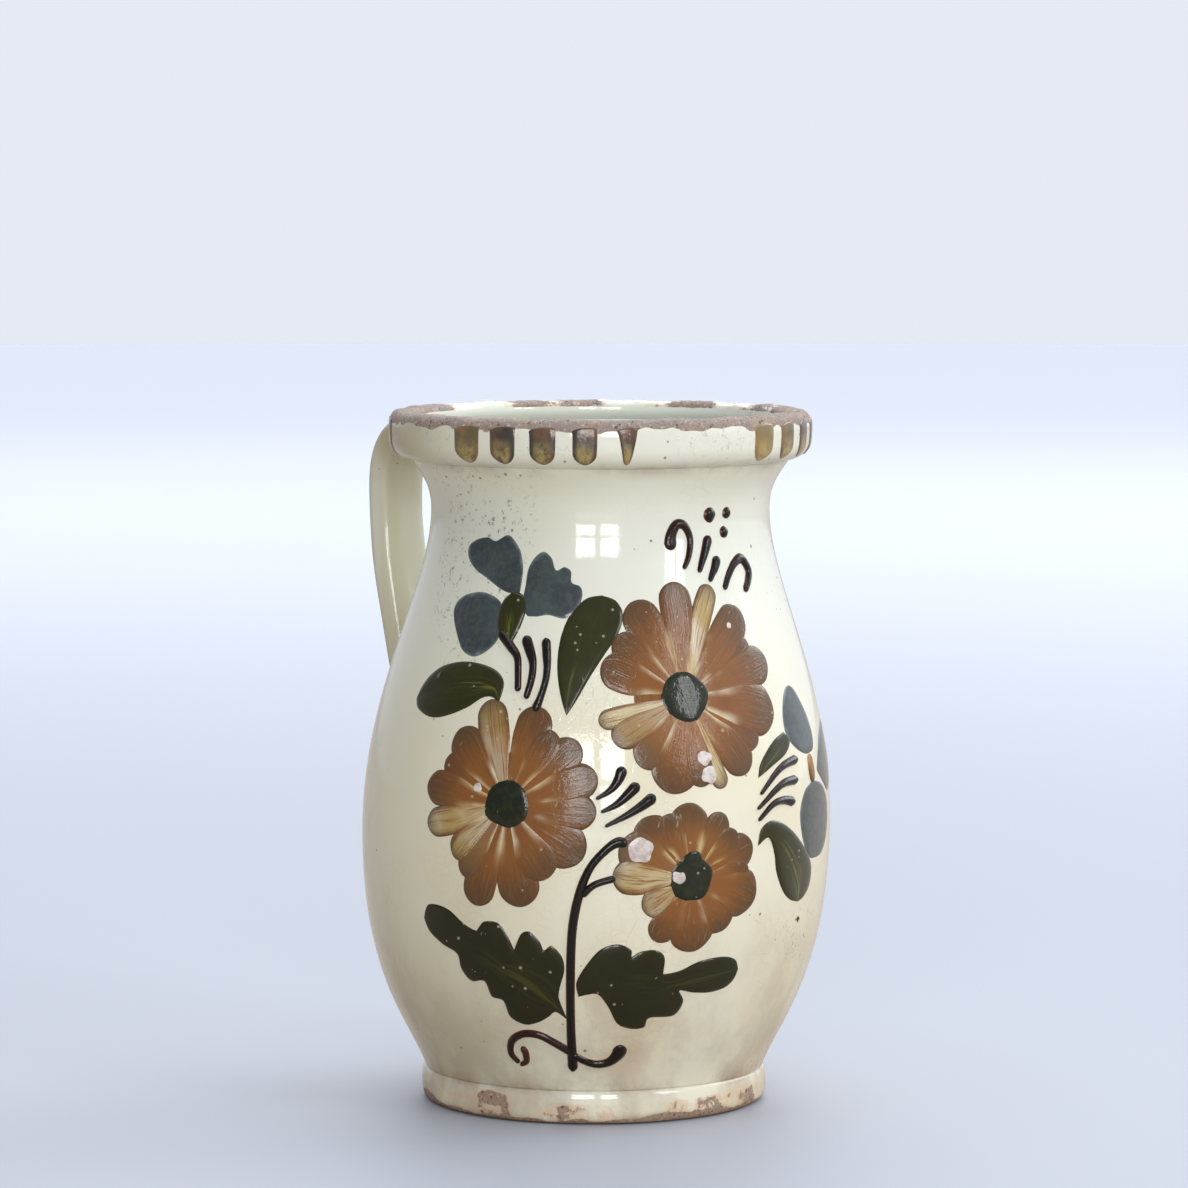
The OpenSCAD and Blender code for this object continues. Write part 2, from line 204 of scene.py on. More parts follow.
def settled(form, r, turn, z):
    """Cylinder coordinates to places in metres: the thrower's ripple is added to the radius, a few slow waves
    and one fine ring every 5 to 6 mm, and the axis leans smoothly from the base to the neck."""
    tall = form.jug_height
    slow = np.sin(2 * turn + 1.1) * np.sin(np.pi * z / tall) + 0.6 * np.sin(3 * turn - 0.8 + z / 38)
    rings = np.sin(2 * np.pi * z / 5.6 + 1.3 * np.sin(turn)) * smooth((z - 14) / 20)
    r = r + form.hand * (slow + 0.04 * rings) * smooth(z / 30)
    lean = form.lean * smooth(z / form.neck_height)
    toward = math.radians(form.decor_face + 90)
    x = r * np.cos(turn) + lean * math.cos(toward)
    y = r * np.sin(turn) + lean * math.sin(toward)
    return np.stack([x, y, z + 0 * x], axis=-1) * MM


def leaned(form, places):
    """Places in millimetres, given as x, y, z, shifted with the lean and made metres."""
    lean = form.lean * smooth(places[..., 2] / form.neck_height)
    toward = math.radians(form.decor_face + 90)
    shift = np.stack([lean * math.cos(toward), lean * math.sin(toward), 0 * lean], axis=-1)
    return (places + shift) * MM


class Skin:
    """An outer surface of revolution that deposits are laid on: a radius for each height."""

    def __init__(self, form, outline):
        self.form = form
        self.r = outline[:, 0]
        self.z = outline[:, 1]

    def radius(self, z):
        return np.interp(z, self.z, self.r)

    def turn(self, a):
        return np.radians(self.form.decor_face + a)

    def degrees(self, mm, z):
        """Angle that a level length spans at a height."""
        return mm * 180 / (np.pi * self.radius(z))

    def place(self, a, z, proud):
        """The place at angle a and height z, raised along the surface's own normal."""
        slope = self.radius(z + 0.5) - self.radius(z - 0.5)
        level = 1 / np.sqrt(1 + slope**2)
        return settled(self.form, self.radius(z) + proud * level, self.turn(a), z - proud * slope * level)


def wall_outline(form, fine=1):
    """Radius and height up the outside: a belly curve, a shoulder curve and a flare, each a Bezier."""
    seat = form.rim_radius - RIM_SEAT_STEP
    low = form.jug_height - form.rim_height
    joint = form.foot_radius - 1.2
    foot, belly, mid = form.foot_height, form.belly_radius, form.belly_height
    neck, high = form.neck_radius, form.neck_height
    belly_curve = bezier([[joint, foot], [joint + 4.4, foot + 13], [belly, mid - 47], [belly, mid]],
                         60 * fine)
    shoulder = bezier([[belly, mid], [belly, mid + 42], [neck, high - 23], [neck, high]], 72 * fine)
    flare = bezier([[neck, high], [neck, high + 7], [seat - 4, low - 5], [seat - 0.6, low]], 16 * fine)
    collar = np.array([[seat, low + 4], [seat, form.jug_height - 6]])
    return np.concatenate([belly_curve, shoulder[1:], flare[1:], collar])


def wall_skin(form):
    return Skin(form, wall_outline(form, fine=10))


def band_outline(form, fine=1):
    """Radius and height up the rim band's face: a tucked lower edge, a nearly upright face, a rounded top."""
    low, top, r = form.jug_height - form.rim_height, form.jug_height, form.rim_radius
    tuck = bezier([[r - 6.5, low], [r - 3.2, low + 0.4], [r - 0.6, low + 2.2], [r - 0.1, low + 5.4]],
                  10 * fine)
    face = bezier([[r - 0.1, low + 5.4], [r + 0.1, low + 8], [r + 0.1, top - 5], [r, top - 3.2]], 8 * fine)
    brow = bezier([[r, top - 3.2], [r - 0.1, top - 1.6], [r - 1, top - 0.3], [r - 2.8, top - 0.1]], 10 * fine)
    return np.concatenate([tuck, face[1:], brow[1:]])


def band_skin(form):
    return Skin(form, band_outline(form, fine=6))


# ---------------------------------------------------------------------------------------------------------
# Meshes
# ---------------------------------------------------------------------------------------------------------


class Patch:
    """A closed surface as rows of loops: places is rows x loop x 3, in metres. The loop always closes on
    itself; the rows close too when ring is true, and are capped when it is not. traits holds one number for
    each vertex by name, and uv runs along the rows and round the loop."""

    def __init__(self, places, ring=False, uv=None, **traits):
        self.places = places
        self.ring = ring
        rows, loop = places.shape[:2]
        self.uv = np.zeros((rows, loop, 2)) if uv is None else uv
        self.traits = {key: np.broadcast_to(value, (rows, loop)) for key, value in traits.items()}

    def faces(self, start):
        """Quads between neighbouring rows, then an end cap for each open end."""
        rows, loop = self.places.shape[:2]
        index = np.arange(rows * loop).reshape(rows, loop) + start
        here = index if self.ring else index[:-1]
        ahead = np.roll(index, -1, axis=0) if self.ring else index[1:]
        quads = np.stack([here, np.roll(here, -1, axis=1), np.roll(ahead, -1, axis=1), ahead], axis=-1)
        faces = quads.reshape(-1, 4).tolist()
        if not self.ring:
            faces.append(index[0][::-1].tolist())
            faces.append(index[-1].tolist())
        return faces


def make_piece(context, name, patches, material, nodes):
    """One smooth mesh from the patches, with their traits and UV, standing for its CAD nodes."""
    places = np.concatenate([patch.places.reshape(-1, 3) for patch in patches])
    faces = []
    start = 0
    for patch in patches:
        faces += patch.faces(start)
        start += patch.places.shape[0] * patch.places.shape[1]
    mesh = bpy.data.meshes.new(name)
    mesh.from_pydata(places, [], faces)
    mesh.polygons.foreach_set("use_smooth", np.ones(len(mesh.polygons), bool))
    corner = np.zeros(len(mesh.loops), np.int32)
    mesh.loops.foreach_get("vertex_index", corner)
    flat_uv = np.concatenate([patch.uv.reshape(-1, 2) for patch in patches])
    layer = mesh.uv_layers.new(name="Brush")
    layer.data.foreach_set("uv", flat_uv[corner].ravel().astype(np.float32))
    for key in patches[0].traits:
        values = np.concatenate([patch.traits[key].ravel() for patch in patches])
        attribute = mesh.attributes.new(key, "FLOAT", "POINT")
        attribute.data.foreach_set("value", values.astype(np.float32))
    if mesh.validate():
        raise RuntimeError(f"{name} has faulty faces")
    mesh.materials.append(material)
    piece = bpy.data.objects.new(name, mesh)
    context.scene.collection.objects.link(piece)
    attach(piece, BODY)
    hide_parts(*nodes)
    return piece


def along_ends(count):
    """Steps from 0 to 1 that crowd towards both ends: (1 - cos(pi k / n)) / 2."""
    return (1 - np.cos(np.pi * np.arange(count) / (count - 1))) / 2


def across_steps(count):
    """Steps from 1 to -1 that crowd towards both edges: the sine of even angles."""
    return np.sin(np.pi / 2 * np.linspace(1, -1, count))


def bead(v, height, key, dome):
    """Height of a deposit across its width: (height + key)(1 - |v|^dome) - key."""
    return (height + key) * (1 - np.abs(v) ** dome) - key


def stroke(skin, spine, halves, height, key, dome=2.0, rows=40, across=11, lift=0.0, tone=1.0, seed=0.0,
           ends=(1.0, 1.0)):
    """A brush or trailer stroke: a bead carried along a Catmull-Rom line on the skin. The half width follows
    its own list and closes at both ends as sqrt(1 - (1 - s/e)^2), where s is the distance to that end and e
    the half width there times the end's own number. Its underside is keyed into the wall."""
    t = along_ends(rows)
    line = through(spine, t)
    a, z = line[:, 0], line[:, 1]
    level = skin.radius(z) * np.pi / 180
    step = np.hypot(np.diff(a) * level[1:], np.diff(z))
    s = np.concatenate([[0], np.cumsum(step)])
    run = np.stack([np.gradient(a) * level, np.gradient(z)], axis=-1)
    run /= np.linalg.norm(run, axis=1)[:, None]
    half = np.maximum(through(halves, t), 0.15)
    near = np.clip(s / (half[0] * ends[0] + 0.01), 0, 1)
    far = np.clip((s[-1] - s) / (half[-1] * ends[1] + 0.01), 0, 1)
    close = np.sqrt(1 - (1 - near) ** 2) * np.sqrt(1 - (1 - far) ** 2)
    half = half * np.maximum(close, 0.06)
    v = across_steps(across)
    off = half[:, None] * v
    aa = a[:, None] - run[:, 1:] * off / level[:, None]
    zz = z[:, None] + run[:, :1] * off
    rise = bead(v, height, key, dome) * np.maximum(close, 0.12)[:, None] ** 0.5 + lift
    places = skin.place(aa, zz, rise)
    uv = np.stack([np.broadcast_to(t[:, None], off.shape), np.broadcast_to(v, off.shape)], axis=-1)
    return Patch(places, uv=uv, tone=tone, seed=seed, reach=half[:, None] * np.ones_like(off))


def leaf(skin, left, right, middle, height, key, dome=6.0, rows=60, across=15, tone=1.0, seed=0.0):
    """Paint ruled between two edge lines and a middle line, all Catmull-Rom from the same first place to the
    same last one: a point lies v of the way from the middle line to the left edge, or -v to the right."""
    t = np.linspace(0, 1, rows)
    near = through(left, t)[:, None]
    mid = through(middle, t)[:, None]
    far = through(right, t)[:, None]
    v = across_steps(across)
    places = mid + (near - mid) * np.maximum(v, 0)[:, None] + (far - mid) * np.maximum(-v, 0)[:, None]
    ends = np.sin(np.pi * np.clip(t, 0.004, 0.996)) ** 0.25
    rise = bead(v, height, key, dome) * ends[:, None] - key * (1 - ends[:, None])
    on_wall = skin.place(places[..., 0], places[..., 1], rise)
    shape = (rows, across)
    uv = np.stack([np.broadcast_to(t[:, None], shape), np.broadcast_to(v, shape)], axis=-1)
    return Patch(on_wall, uv=uv, tone=tone, seed=seed)


def dab(skin, place, r, height, key, lumps=0.0, seed=0, tone=1.0, dome=4.0, around=48, rings=12):
    """A round dab: height (1 - f^dome) at f of the way from its middle to an edge whose radius is r times
    1 + lumps x slow waves. Rows run from the middle out, and the last rows go back beneath."""
    turn = -np.linspace(0, 2 * np.pi, around, endpoint=False)
    f = np.sin(np.pi / 2 * np.linspace(0.02, 1, rings))
    edge = r * (1 + lumps * waves(turn, seed + 5, 2, 5, 6))
    off = f[:, None] * edge
    a = place[0] + skin.degrees(off * np.cos(turn), place[1])
    z = place[1] + off * np.sin(turn)
    rise = bead(f, height, key, dome)[:, None] + 0 * off
    places = skin.place(a, z, rise)
    uv = np.stack([np.broadcast_to(-turn / (2 * np.pi), off.shape), f[:, None] + 0 * off], axis=-1)
    return Patch(places[::-1], uv=uv[::-1], tone=tone, seed=float(seed), reach=r)


def full_turn(form):
    """Angles round the jug, one for each column: 2 pi k / around."""
    return np.linspace(0, 2 * np.pi, form.around, endpoint=False)


def spun(form, loop, ring=True, dent=None, lift=None, **traits):
    """A profile turned about the axis, less a dent in radius and plus a lift in height for each angle."""
    turn = full_turn(form)
    r = loop[:, :1] - (0 if dent is None else dent)
    z = loop[:, 1:] + (0 if lift is None else lift)
    places = settled(form, r + 0 * turn, turn, z + 0 * turn)
    return Patch(places, ring=ring, **traits)


# ---------------------------------------------------------------------------------------------------------
# Shader wiring
# ---------------------------------------------------------------------------------------------------------


class Wiring:
    """Short ways to add and join nodes in one shader tree."""

    def __init__(self, tree):
        self.tree = tree

    def feed(self, socket, value):
        if isinstance(value, bpy.types.NodeSocket):
            self.tree.links.new(value, socket)
        elif hasattr(value, "__len__") and len(value) == 3 and len(socket.default_value) == 4:
            socket.default_value = (*value, 1)
        else:
            socket.default_value = value

    def add(self, kind, settings=None, **inputs):
        node = self.tree.nodes.new("ShaderNode" + kind)
        for key, value in (settings or {}).items():
            setattr(node, key, value)
        for key, value in inputs.items():
            self.feed(node.inputs[key.replace("_", " ")], value)
        return node

    def math(self, operation, *values, clamp=False):
        node = self.add("Math", {"operation": operation, "use_clamp": clamp})
        for socket, value in zip(node.inputs, values):
            self.feed(socket, value)
        return node.outputs[0]

    def times(self, *values):
        total = values[0]
        for value in values[1:]:
            total = self.math("MULTIPLY", total, value)
        return total

    def plus(self, *values):
        total = values[0]
        for value in values[1:]:
            total = self.math("ADD", total, value)
        return total

    def most(self, a, b):
        return self.math("MAXIMUM", a, b)

    def step(self, value, low, high):
        """Smooth step from 0 at low to 1 at high; low may be the larger."""
        settings = {"interpolation_type": "SMOOTHSTEP"}
        node = self.add("MapRange", settings, Value=value, From_Min=low, From_Max=high)
        return node.outputs[0]

    def mix(self, share, a, b, blend="MIX"):
        node = self.add("Mix", {"data_type": "RGBA", "blend_type": blend, "clamp_factor": True})
        self.feed(node.inputs[0], share)
        self.feed(node.inputs[6], a)
        self.feed(node.inputs[7], b)
        return node.outputs[2]

    def noise(self, vector, scale, detail=2.0, rough=0.5, warp=0.0):
        node = self.add("TexNoise", None, Vector=vector, Scale=scale, Detail=detail, Roughness=rough,
                        Distortion=warp)
        return node.outputs[0]

    def cells(self, vector, scale, feature="F1"):
        return self.add("TexVoronoi", {"feature": feature}, Vector=vector, Scale=scale)

    def object_place(self):
        return self.add("TexCoord").outputs["Object"]

    def trait(self, name):
        return self.add("Attribute", {"attribute_name": name}).outputs["Fac"]

    def stretch(self, vector, scale, shift=(0, 0, 0)):
        node = self.add("VectorMath", {"operation": "MULTIPLY"})
        self.feed(node.inputs[0], vector)
        self.feed(node.inputs[1], scale)
        moved = self.add("VectorMath", {"operation": "ADD"})
        self.feed(moved.inputs[0], node.outputs[0])
        self.feed(moved.inputs[1], shift)
        return moved.outputs[0]

    def split(self, vector):
        return self.add("SeparateXYZ", None, Vector=vector).outputs

    def group(self, tree, **inputs):
        node = self.add("Group", {"node_tree": tree})
        for key, value in inputs.items():
            self.feed(node.inputs[key.replace("_", " ")], value)
        return node.outputs


def new_group(name, inputs, outputs):
    """An empty shader group with named float or colour sockets; returns wiring, inputs and output node."""
    tree = bpy.data.node_groups.new(name, "ShaderNodeTree")
    for label, kind, value in inputs:
        socket = tree.interface.new_socket(label, in_out="INPUT", socket_type=kind)
        socket.default_value = value
    for label, kind in outputs:
        tree.interface.new_socket(label, in_out="OUTPUT", socket_type=kind)
    wires = Wiring(tree)
    source = tree.nodes.new("NodeGroupInput").outputs
    result = tree.nodes.new("NodeGroupOutput")
    return wires, source, result


FLOAT = "NodeSocketFloat"
COLOUR = "NodeSocketColor"
VECTOR = "NodeSocketVector"


def specks_group():
    """Round specks: a cell shows one when its own random number is under Share, and its radius varies."""
    inputs = [("Vector", VECTOR, (0, 0, 0)), ("Scale", FLOAT, 300.0), ("Size", FLOAT, 0.2),
              ("Share", FLOAT, 0.1)]
    wires, source, result = new_group("Glaze specks", inputs, [("Mask", FLOAT)])
    cells = wires.cells(source["Vector"], source["Scale"])
    lot = wires.add("SeparateColor", None, Color=cells.outputs["Color"]).outputs
    shown = wires.math("LESS_THAN", lot[0], source["Share"])
    wide = wires.times(source["Size"], wires.math("ADD", lot[1], 0.35))
    inside = wires.step(wires.math("DIVIDE", cells.outputs["Distance"], wide), 1.0, 0.6)
    wires.feed(result.inputs["Mask"], wires.times(shown, inside))
    return wires.tree


def ivory_group(paint, specks):
    """The ivory glaze: clouded cream, fine crazing, sparse pinholes and a mottled brown smear that grows
    towards the bottom. Its first input adds smears, of soiling and of painted shade in creases and inside the
    jug, Tan an even olive cast, and below 0 a cool painted shade, and Crowd a cluster of specks."""
    outputs = [("Color", COLOUR), ("Roughness", FLOAT), ("Height", FLOAT)]
    inputs = [("Dirt", FLOAT, 0.0), ("Tan", FLOAT, 0.0), ("Crowd", FLOAT, 0.0)]
    wires, source, result = new_group("Ivory glaze", inputs, outputs)
    spot = wires.object_place()
    x, y, z = wires.split(spot)
    cloud = wires.noise(spot, 16, 3)
    patch = wires.noise(spot, 60, 4, 0.6)
    grain = wires.noise(spot, 900, 2)
    cream = wires.mix(wires.step(cloud, 0.35, 0.7), paint.ivory, paint.ivory_deep)
    cream = wires.mix(wires.times(wires.step(patch, 0.45, 0.75), 0.35), cream, paint.ivory_deep)

    crack = wires.cells(spot, 300, "DISTANCE_TO_EDGE").outputs["Distance"]
    net = wires.times(wires.step(crack, 0.04, 0.0), wires.step(wires.noise(spot, 30, 2), 0.45, 0.7))
    cream = wires.mix(wires.times(net, 0.16), cream, paint.grime_and_shade)

    cream = wires.mix(wires.times(wires.step(z, 0.1, 0.17), 0.6), cream, swatch(225, 230, 220))

    low = wires.step(z, 0.09, 0.0)
    smear = wires.noise(wires.stretch(spot, (1, 1, 0.8)), 45, 6, 0.6)
    # Painted shade and soiling: the first input, plus a term that grows towards the bottom, darkens the cream
    # in mottled smears.
    soil_and_shade_share = wires.plus(wires.times(low, 0.75), source["Dirt"])
    soil_and_shade_film = wires.times(soil_and_shade_share, wires.step(smear, 0.38, 0.66))
    cream = wires.mix(wires.times(soil_and_shade_film, 0.5), cream, paint.grime_and_shade)
    rosy = wires.times(low, wires.step(wires.noise(spot, 38, 4), 0.5, 0.72), 0.5)
    cream = wires.mix(rosy, cream, swatch(196, 168, 142))

    cream = wires.mix(source["Tan"], cream, paint.tan)
    # Below 0, Tan paints a cool grey-blue shade, used inside the jug.
    cream = wires.mix(wires.times(source["Tan"], -1.0), cream, swatch(176, 190, 196))
    flecks = wires.noise(spot, 30, 2)
    crowd = wires.times(wires.step(flecks, 0.4, 0.7), wires.plus(wires.times(source["Crowd"], 0.5), 0.07))
    dots = wires.group(specks, Vector=spot, Scale=700.0, Size=0.34, Share=wires.times(crowd, 0.4))["Mask"]
    big = wires.group(specks, Vector=spot, Scale=260.0, Size=0.13, Share=wires.times(crowd, 0.12))["Mask"]
    shards = wires.step(wires.noise(spot, 480, 5, 0.8), 0.575, 0.62)
    shards = wires.times(shards, wires.step(wires.plus(wires.times(source["Crowd"], 0.7), flecks), 0.6, 0.95))
    dots = wires.most(dots, shards)
    cream = wires.mix(wires.times(wires.most(dots, big), 0.7), cream, swatch(66, 60, 48))

    wires.feed(result.inputs["Color"], cream)
    wires.feed(result.inputs["Roughness"], wires.plus(0.3, wires.times(soil_and_shade_film, 0.3), wires.times(patch, 0.06)))
    relief = wires.plus(wires.times(net, -0.5), wires.times(patch, 0.5), wires.times(grain, 0.08))
    wires.feed(result.inputs["Height"], wires.plus(relief, wires.times(wires.most(dots, big), -0.6)))
    return wires.tree


def clay_group(paint, specks):
    """Bare fired clay: pink to grey, gritty, with dark pits."""
    outputs = [("Color", COLOUR), ("Height", FLOAT)]
    wires, source, result = new_group("Bare clay", [("Age", FLOAT, 0.5)], outputs)
    spot = wires.object_place()
    blotch = wires.noise(spot, 120, 4, 0.65)
    grit = wires.noise(spot, 1100, 4, 0.75)
    grains = wires.noise(wires.stretch(spot, (1, 1, 1), (3, 5, 7)), 800, 4, 0.7)
    height = wires.split(spot)[2]
    greyed = wires.times(wires.step(blotch, 0.2, 0.6),
                         wires.plus(wires.times(wires.step(height, 0.1, 0.2), 0.6), 0.4))
    body = wires.mix(wires.times(greyed, source["Age"]), paint.clay, paint.clay_pale)
    body = wires.mix(wires.times(wires.step(grains, 0.52, 0.66), 0.6), body, swatch(198, 186, 174))
    body = wires.mix(wires.times(wires.step(grit, 0.52, 0.64), 0.7), body, swatch(104, 84, 74))
    pits = wires.group(specks, Vector=spot, Scale=900.0, Size=0.42, Share=0.22)["Mask"]
    body = wires.mix(wires.times(pits, 0.7), body, swatch(60, 48, 42))
    wires.feed(result.inputs["Color"], body)
    wires.feed(result.inputs["Height"], wires.plus(grit, wires.times(pits, -0.8), blotch))
    return wires.tree


def brush_group():
    """Marks left by a loaded brush: long streaks along the stroke and a thin, ragged margin at its edge.
    Across is 0 on the stroke's middle line and 1 at its edges."""
    outputs = [("Streak", FLOAT), ("Across", FLOAT), ("Along", FLOAT), ("Edge", FLOAT)]
    wires, source, result = new_group("Brush marks", [("Fineness", FLOAT, 1.0)], outputs)
    uv = wires.add("UVMap", {"uv_map": "Brush"}).outputs[0]
    along, across, _ = wires.split(uv)
    seed = wires.times(wires.trait("seed"), 7.31)
    shift = wires.add("CombineXYZ", None, X=seed, Y=seed, Z=seed).outputs[0]
    scale = wires.add("CombineXYZ", None, X=1.2, Y=wires.times(source["Fineness"], 5.0), Z=1.0).outputs[0]
    streak = wires.noise(wires.stretch(uv, scale, shift), 1.6, 4, 0.6, 0.3)
    spot = wires.object_place()
    ragged = wires.times(wires.math("SUBTRACT", wires.noise(spot, 420, 3), 0.5), 0.22)
    side = wires.math("ABSOLUTE", across)
    wires.feed(result.inputs["Streak"], streak)
    wires.feed(result.inputs["Across"], side)
    wires.feed(result.inputs["Along"], along)
    wires.feed(result.inputs["Edge"], wires.plus(side, ragged))
    return wires.tree


def new_material(name, surface):
    """A material whose Principled surface takes named values or sockets from the wiring function."""
    material = bpy.data.materials.new(name)
    material.use_nodes = True
    tree = material.node_tree
    tree.nodes.clear()
    wires = Wiring(tree)
    parts = {"Specular_IOR_Level": 0.15, **surface(wires)}
    height = parts.pop("height")
    depth = parts.pop("depth")
    strength = parts.pop("strength", 0.6)
    bump = wires.add("Bump", None, Height=height, Strength=strength, Distance=depth)
    shader = wires.add("BsdfPrincipled")
    for key, value in parts.items():
        wires.feed(shader.inputs[key.replace("_", " ")], value)
    wires.feed(shader.inputs["Normal"], bump.outputs[0])
    wires.feed(shader.inputs["Coat Normal"], bump.outputs[0])
    output = wires.add("OutputMaterial")
    wires.feed(output.inputs["Surface"], shader.outputs[0])
    return material


class Glazes:
    """All the jug's groups and materials, made once and shared by its pieces."""

    made = None

    @classmethod
    def of(cls, context):
        if cls.made is None:
            cls.made = cls(context.scene.jug_paint)
        return cls.made

    def __init__(self, paint):
        self.paint = paint
        self.specks = specks_group()
        self.ivory = ivory_group(paint, self.specks)
        self.clay = clay_group(paint, self.specks)
        self.brush = brush_group()
        self.body = new_material("Ivory glaze over clay", self.body_surface)
        self.ochre = new_material("Brushed ochre", self.ochre_surface)
        self.olive = new_material("Brushed olive", self.olive_surface)
        self.eye = new_material("Flower eye", self.eye_surface)
        self.slate = new_material("Brushed slate blue", self.slate_surface)
        self.umber = new_material("Trailed umber slip", self.umber_surface)
        self.rim = new_material("Rim brown", self.rim_surface)

    def body_surface(self, wires):
        """Glaze with bare clay where the piece's bare trait, broken up by noise, passes a half."""
        spot = wires.object_place()
        bare = wires.trait("bare")
        ivory = wires.group(self.ivory, Dirt=wires.trait("dirt"), Tan=wires.trait("tan"),
                            Crowd=wires.trait("crowd"))
        clay = wires.group(self.clay, Age=1.0)
        ragged = wires.plus(wires.noise(spot, 260, 4, 0.65), -0.5)
        worn = wires.step(wires.plus(bare, wires.times(ragged, 0.9)), 0.46, 0.54)
        fringe = wires.step(wires.plus(bare, wires.times(ragged, 0.9)), 0.26, 0.47)
        stain = wires.times(wires.trait("stain"), wires.step(wires.noise(spot, 90, 4, 0.6), 0.3, 0.6))
        glaze = wires.mix(wires.times(fringe, 0.55), ivory["Color"], swatch(214, 176, 138))
        glaze = wires.mix(stain, glaze, swatch(150, 104, 62))
        return {
            "Base_Color": wires.mix(worn, glaze, clay["Color"]),
            "Roughness": wires.plus(wires.times(worn, 0.4), ivory["Roughness"]),
            "Coat_Weight": wires.math("SUBTRACT", 1.0, wires.times(worn, 0.85)),
            "Coat_Roughness": 0.06,
            "height": wires.plus(wires.times(worn, wires.times(clay["Height"], 2.2)), ivory["Height"]),
            "depth": 0.00016,
            "strength": 0.5,
        }

    def worn_paint(self, wires, base, share):
        """Paint with pinholes and short pale scuffs, flaked to the pale slip where tone passes 1.5; the pale
        flakes partly paint window glints. Returns its colour and the marks' mask."""
        spot = wires.object_place()
        pits = wires.group(self.specks, Vector=spot, Scale=520.0, Size=0.26, Share=share)["Mask"]
        scuff = wires.noise(wires.stretch(spot, (1, 1, 0.25)), 380, 3, 0.7, 0.6)
        scuff = wires.times(wires.step(scuff, 0.68, 0.74), 0.4)
        marks = wires.most(wires.times(pits, 0.6), scuff)
        worn = wires.mix(marks, base, swatch(176, 168, 146))
        # Pale flakes where tone passes 1.5, their colour partly a painted window glint.
        side = wires.math("ABSOLUTE", wires.split(wires.add("UVMap", {"uv_map": "Brush"}).outputs[0])[1])
        ragged = wires.plus(side, wires.times(wires.noise(spot, 480, 3, 0.6), 0.5))
        chip = wires.times(wires.step(wires.trait("tone"), 1.3, 1.7), wires.step(ragged, 1.16, 1.08))
        flake_and_glint_colour = wires.mix(wires.step(wires.noise(spot, 420, 4, 0.65), 0.4, 0.65),
                          swatch(216, 206, 200), swatch(184, 170, 164))
        return wires.mix(chip, worn, flake_and_glint_colour), marks

    def ochre_surface(self, wires):
        """Warm near the eye and greyer at the tip, streaked, thin and straw-yellow along the inner edges."""
        paint = self.paint
        spot = wires.object_place()
        tone = wires.trait("tone")
        brush = wires.group(self.brush, Fineness=1.0)
        tip = wires.step(wires.plus(brush["Along"], wires.times(wires.plus(brush["Streak"], -0.5), 0.9)),
                         0.3, 1.0)
        full = wires.mix(tip, paint.ochre, paint.ochre_tip)
        cloud = wires.noise(spot, 70, 3)
        full = wires.mix(wires.times(wires.step(cloud, 0.45, 0.75), 0.5), full, swatch(108, 62, 24))
        rim = wires.times(wires.step(brush["Edge"], 0.78, 1.0), wires.step(brush["Along"], 0.3, 0.8), 0.45)
        full = wires.mix(rim, full, swatch(82, 52, 28))
        inner = wires.step(brush["Along"], 0.55, 0.2)
        some = wires.step(wires.noise(spot, 75, 2), 0.36, 0.62)
        thin = wires.times(inner, wires.step(brush["Edge"], 0.3, 0.9), some, 0.9)
        pale = wires.times(wires.math("SUBTRACT", 1.0, tone), wires.step(brush["Edge"], 0.95, 0.45))
        pale = wires.times(pale, wires.step(brush["Streak"], 0.3, 0.52),
                           wires.step(brush["Along"], 1.05, 0.75))
        lines = wires.times(wires.step(brush["Streak"], 0.58, 0.74), 0.16)
        wash = wires.most(wires.most(thin, pale), lines)
        straw = wires.mix(wires.step(cloud, 0.3, 0.7), paint.straw, paint.ivory_deep)
        colour_now, marks = self.worn_paint(wires, wires.mix(wash, full, straw), 0.05)
        wrinkle = wires.noise(spot, 420, 3, 0.6, 0.8)
        relief = wires.plus(wires.times(wrinkle, 0.7), wires.times(brush["Streak"], 0.8),
                            wires.times(marks, -0.3))
        return {
            "Base_Color": colour_now,
            "Roughness": 0.38,
            "Coat_Weight": 0.9,
            "Coat_IOR": 1.42,
            "Coat_Roughness": 0.05,
            "height": relief,
            "depth": 0.00024,
            "strength": 0.5,
        }

    def olive_surface(self, wires):
        """Dark leaf green with pits and a thin yellow-green streak down the middle."""
        paint = self.paint
        spot = wires.object_place()
        brush = wires.group(self.brush, Fineness=0.8)
        blotch = wires.noise(spot, 150, 4, 0.6)
        leaf_colour = wires.mix(wires.step(blotch, 0.4, 0.75), paint.olive, swatch(50, 48, 18))
        loaded = wires.times(wires.step(wires.trait("tone"), 0.9, 0.4), 0.55)
        leaf_colour = wires.mix(loaded, leaf_colour, swatch(24, 23, 5))
        vein = wires.times(wires.step(brush["Across"], 0.5, 0.0), wires.step(brush["Streak"], 0.46, 0.64))
        late = wires.step(brush["Along"], 0.25, 0.6)
        shine = wires.times(vein, late, wires.trait("tone"))
        leaf_colour = wires.mix(wires.times(shine, 0.75), leaf_colour, paint.olive_thin)
        leaf_colour = wires.mix(wires.step(brush["Edge"], 0.94, 1.02), leaf_colour, paint.olive_thin)
        colour_now, marks = self.worn_paint(wires, leaf_colour, 0.09)
        bumps = wires.noise(spot, 620, 3, 0.6)
        return {
            "Base_Color": colour_now,
            "Roughness": 0.3,
            "Coat_Weight": 1.0,
            "Coat_IOR": 1.32,
            "Coat_Roughness": 0.07,
            "height": wires.plus(wires.times(bumps, 0.5), wires.times(marks, -0.8),
                                 wires.times(brush["Streak"], 0.5)),
            "depth": 0.00009,
            "strength": 0.4,
        }

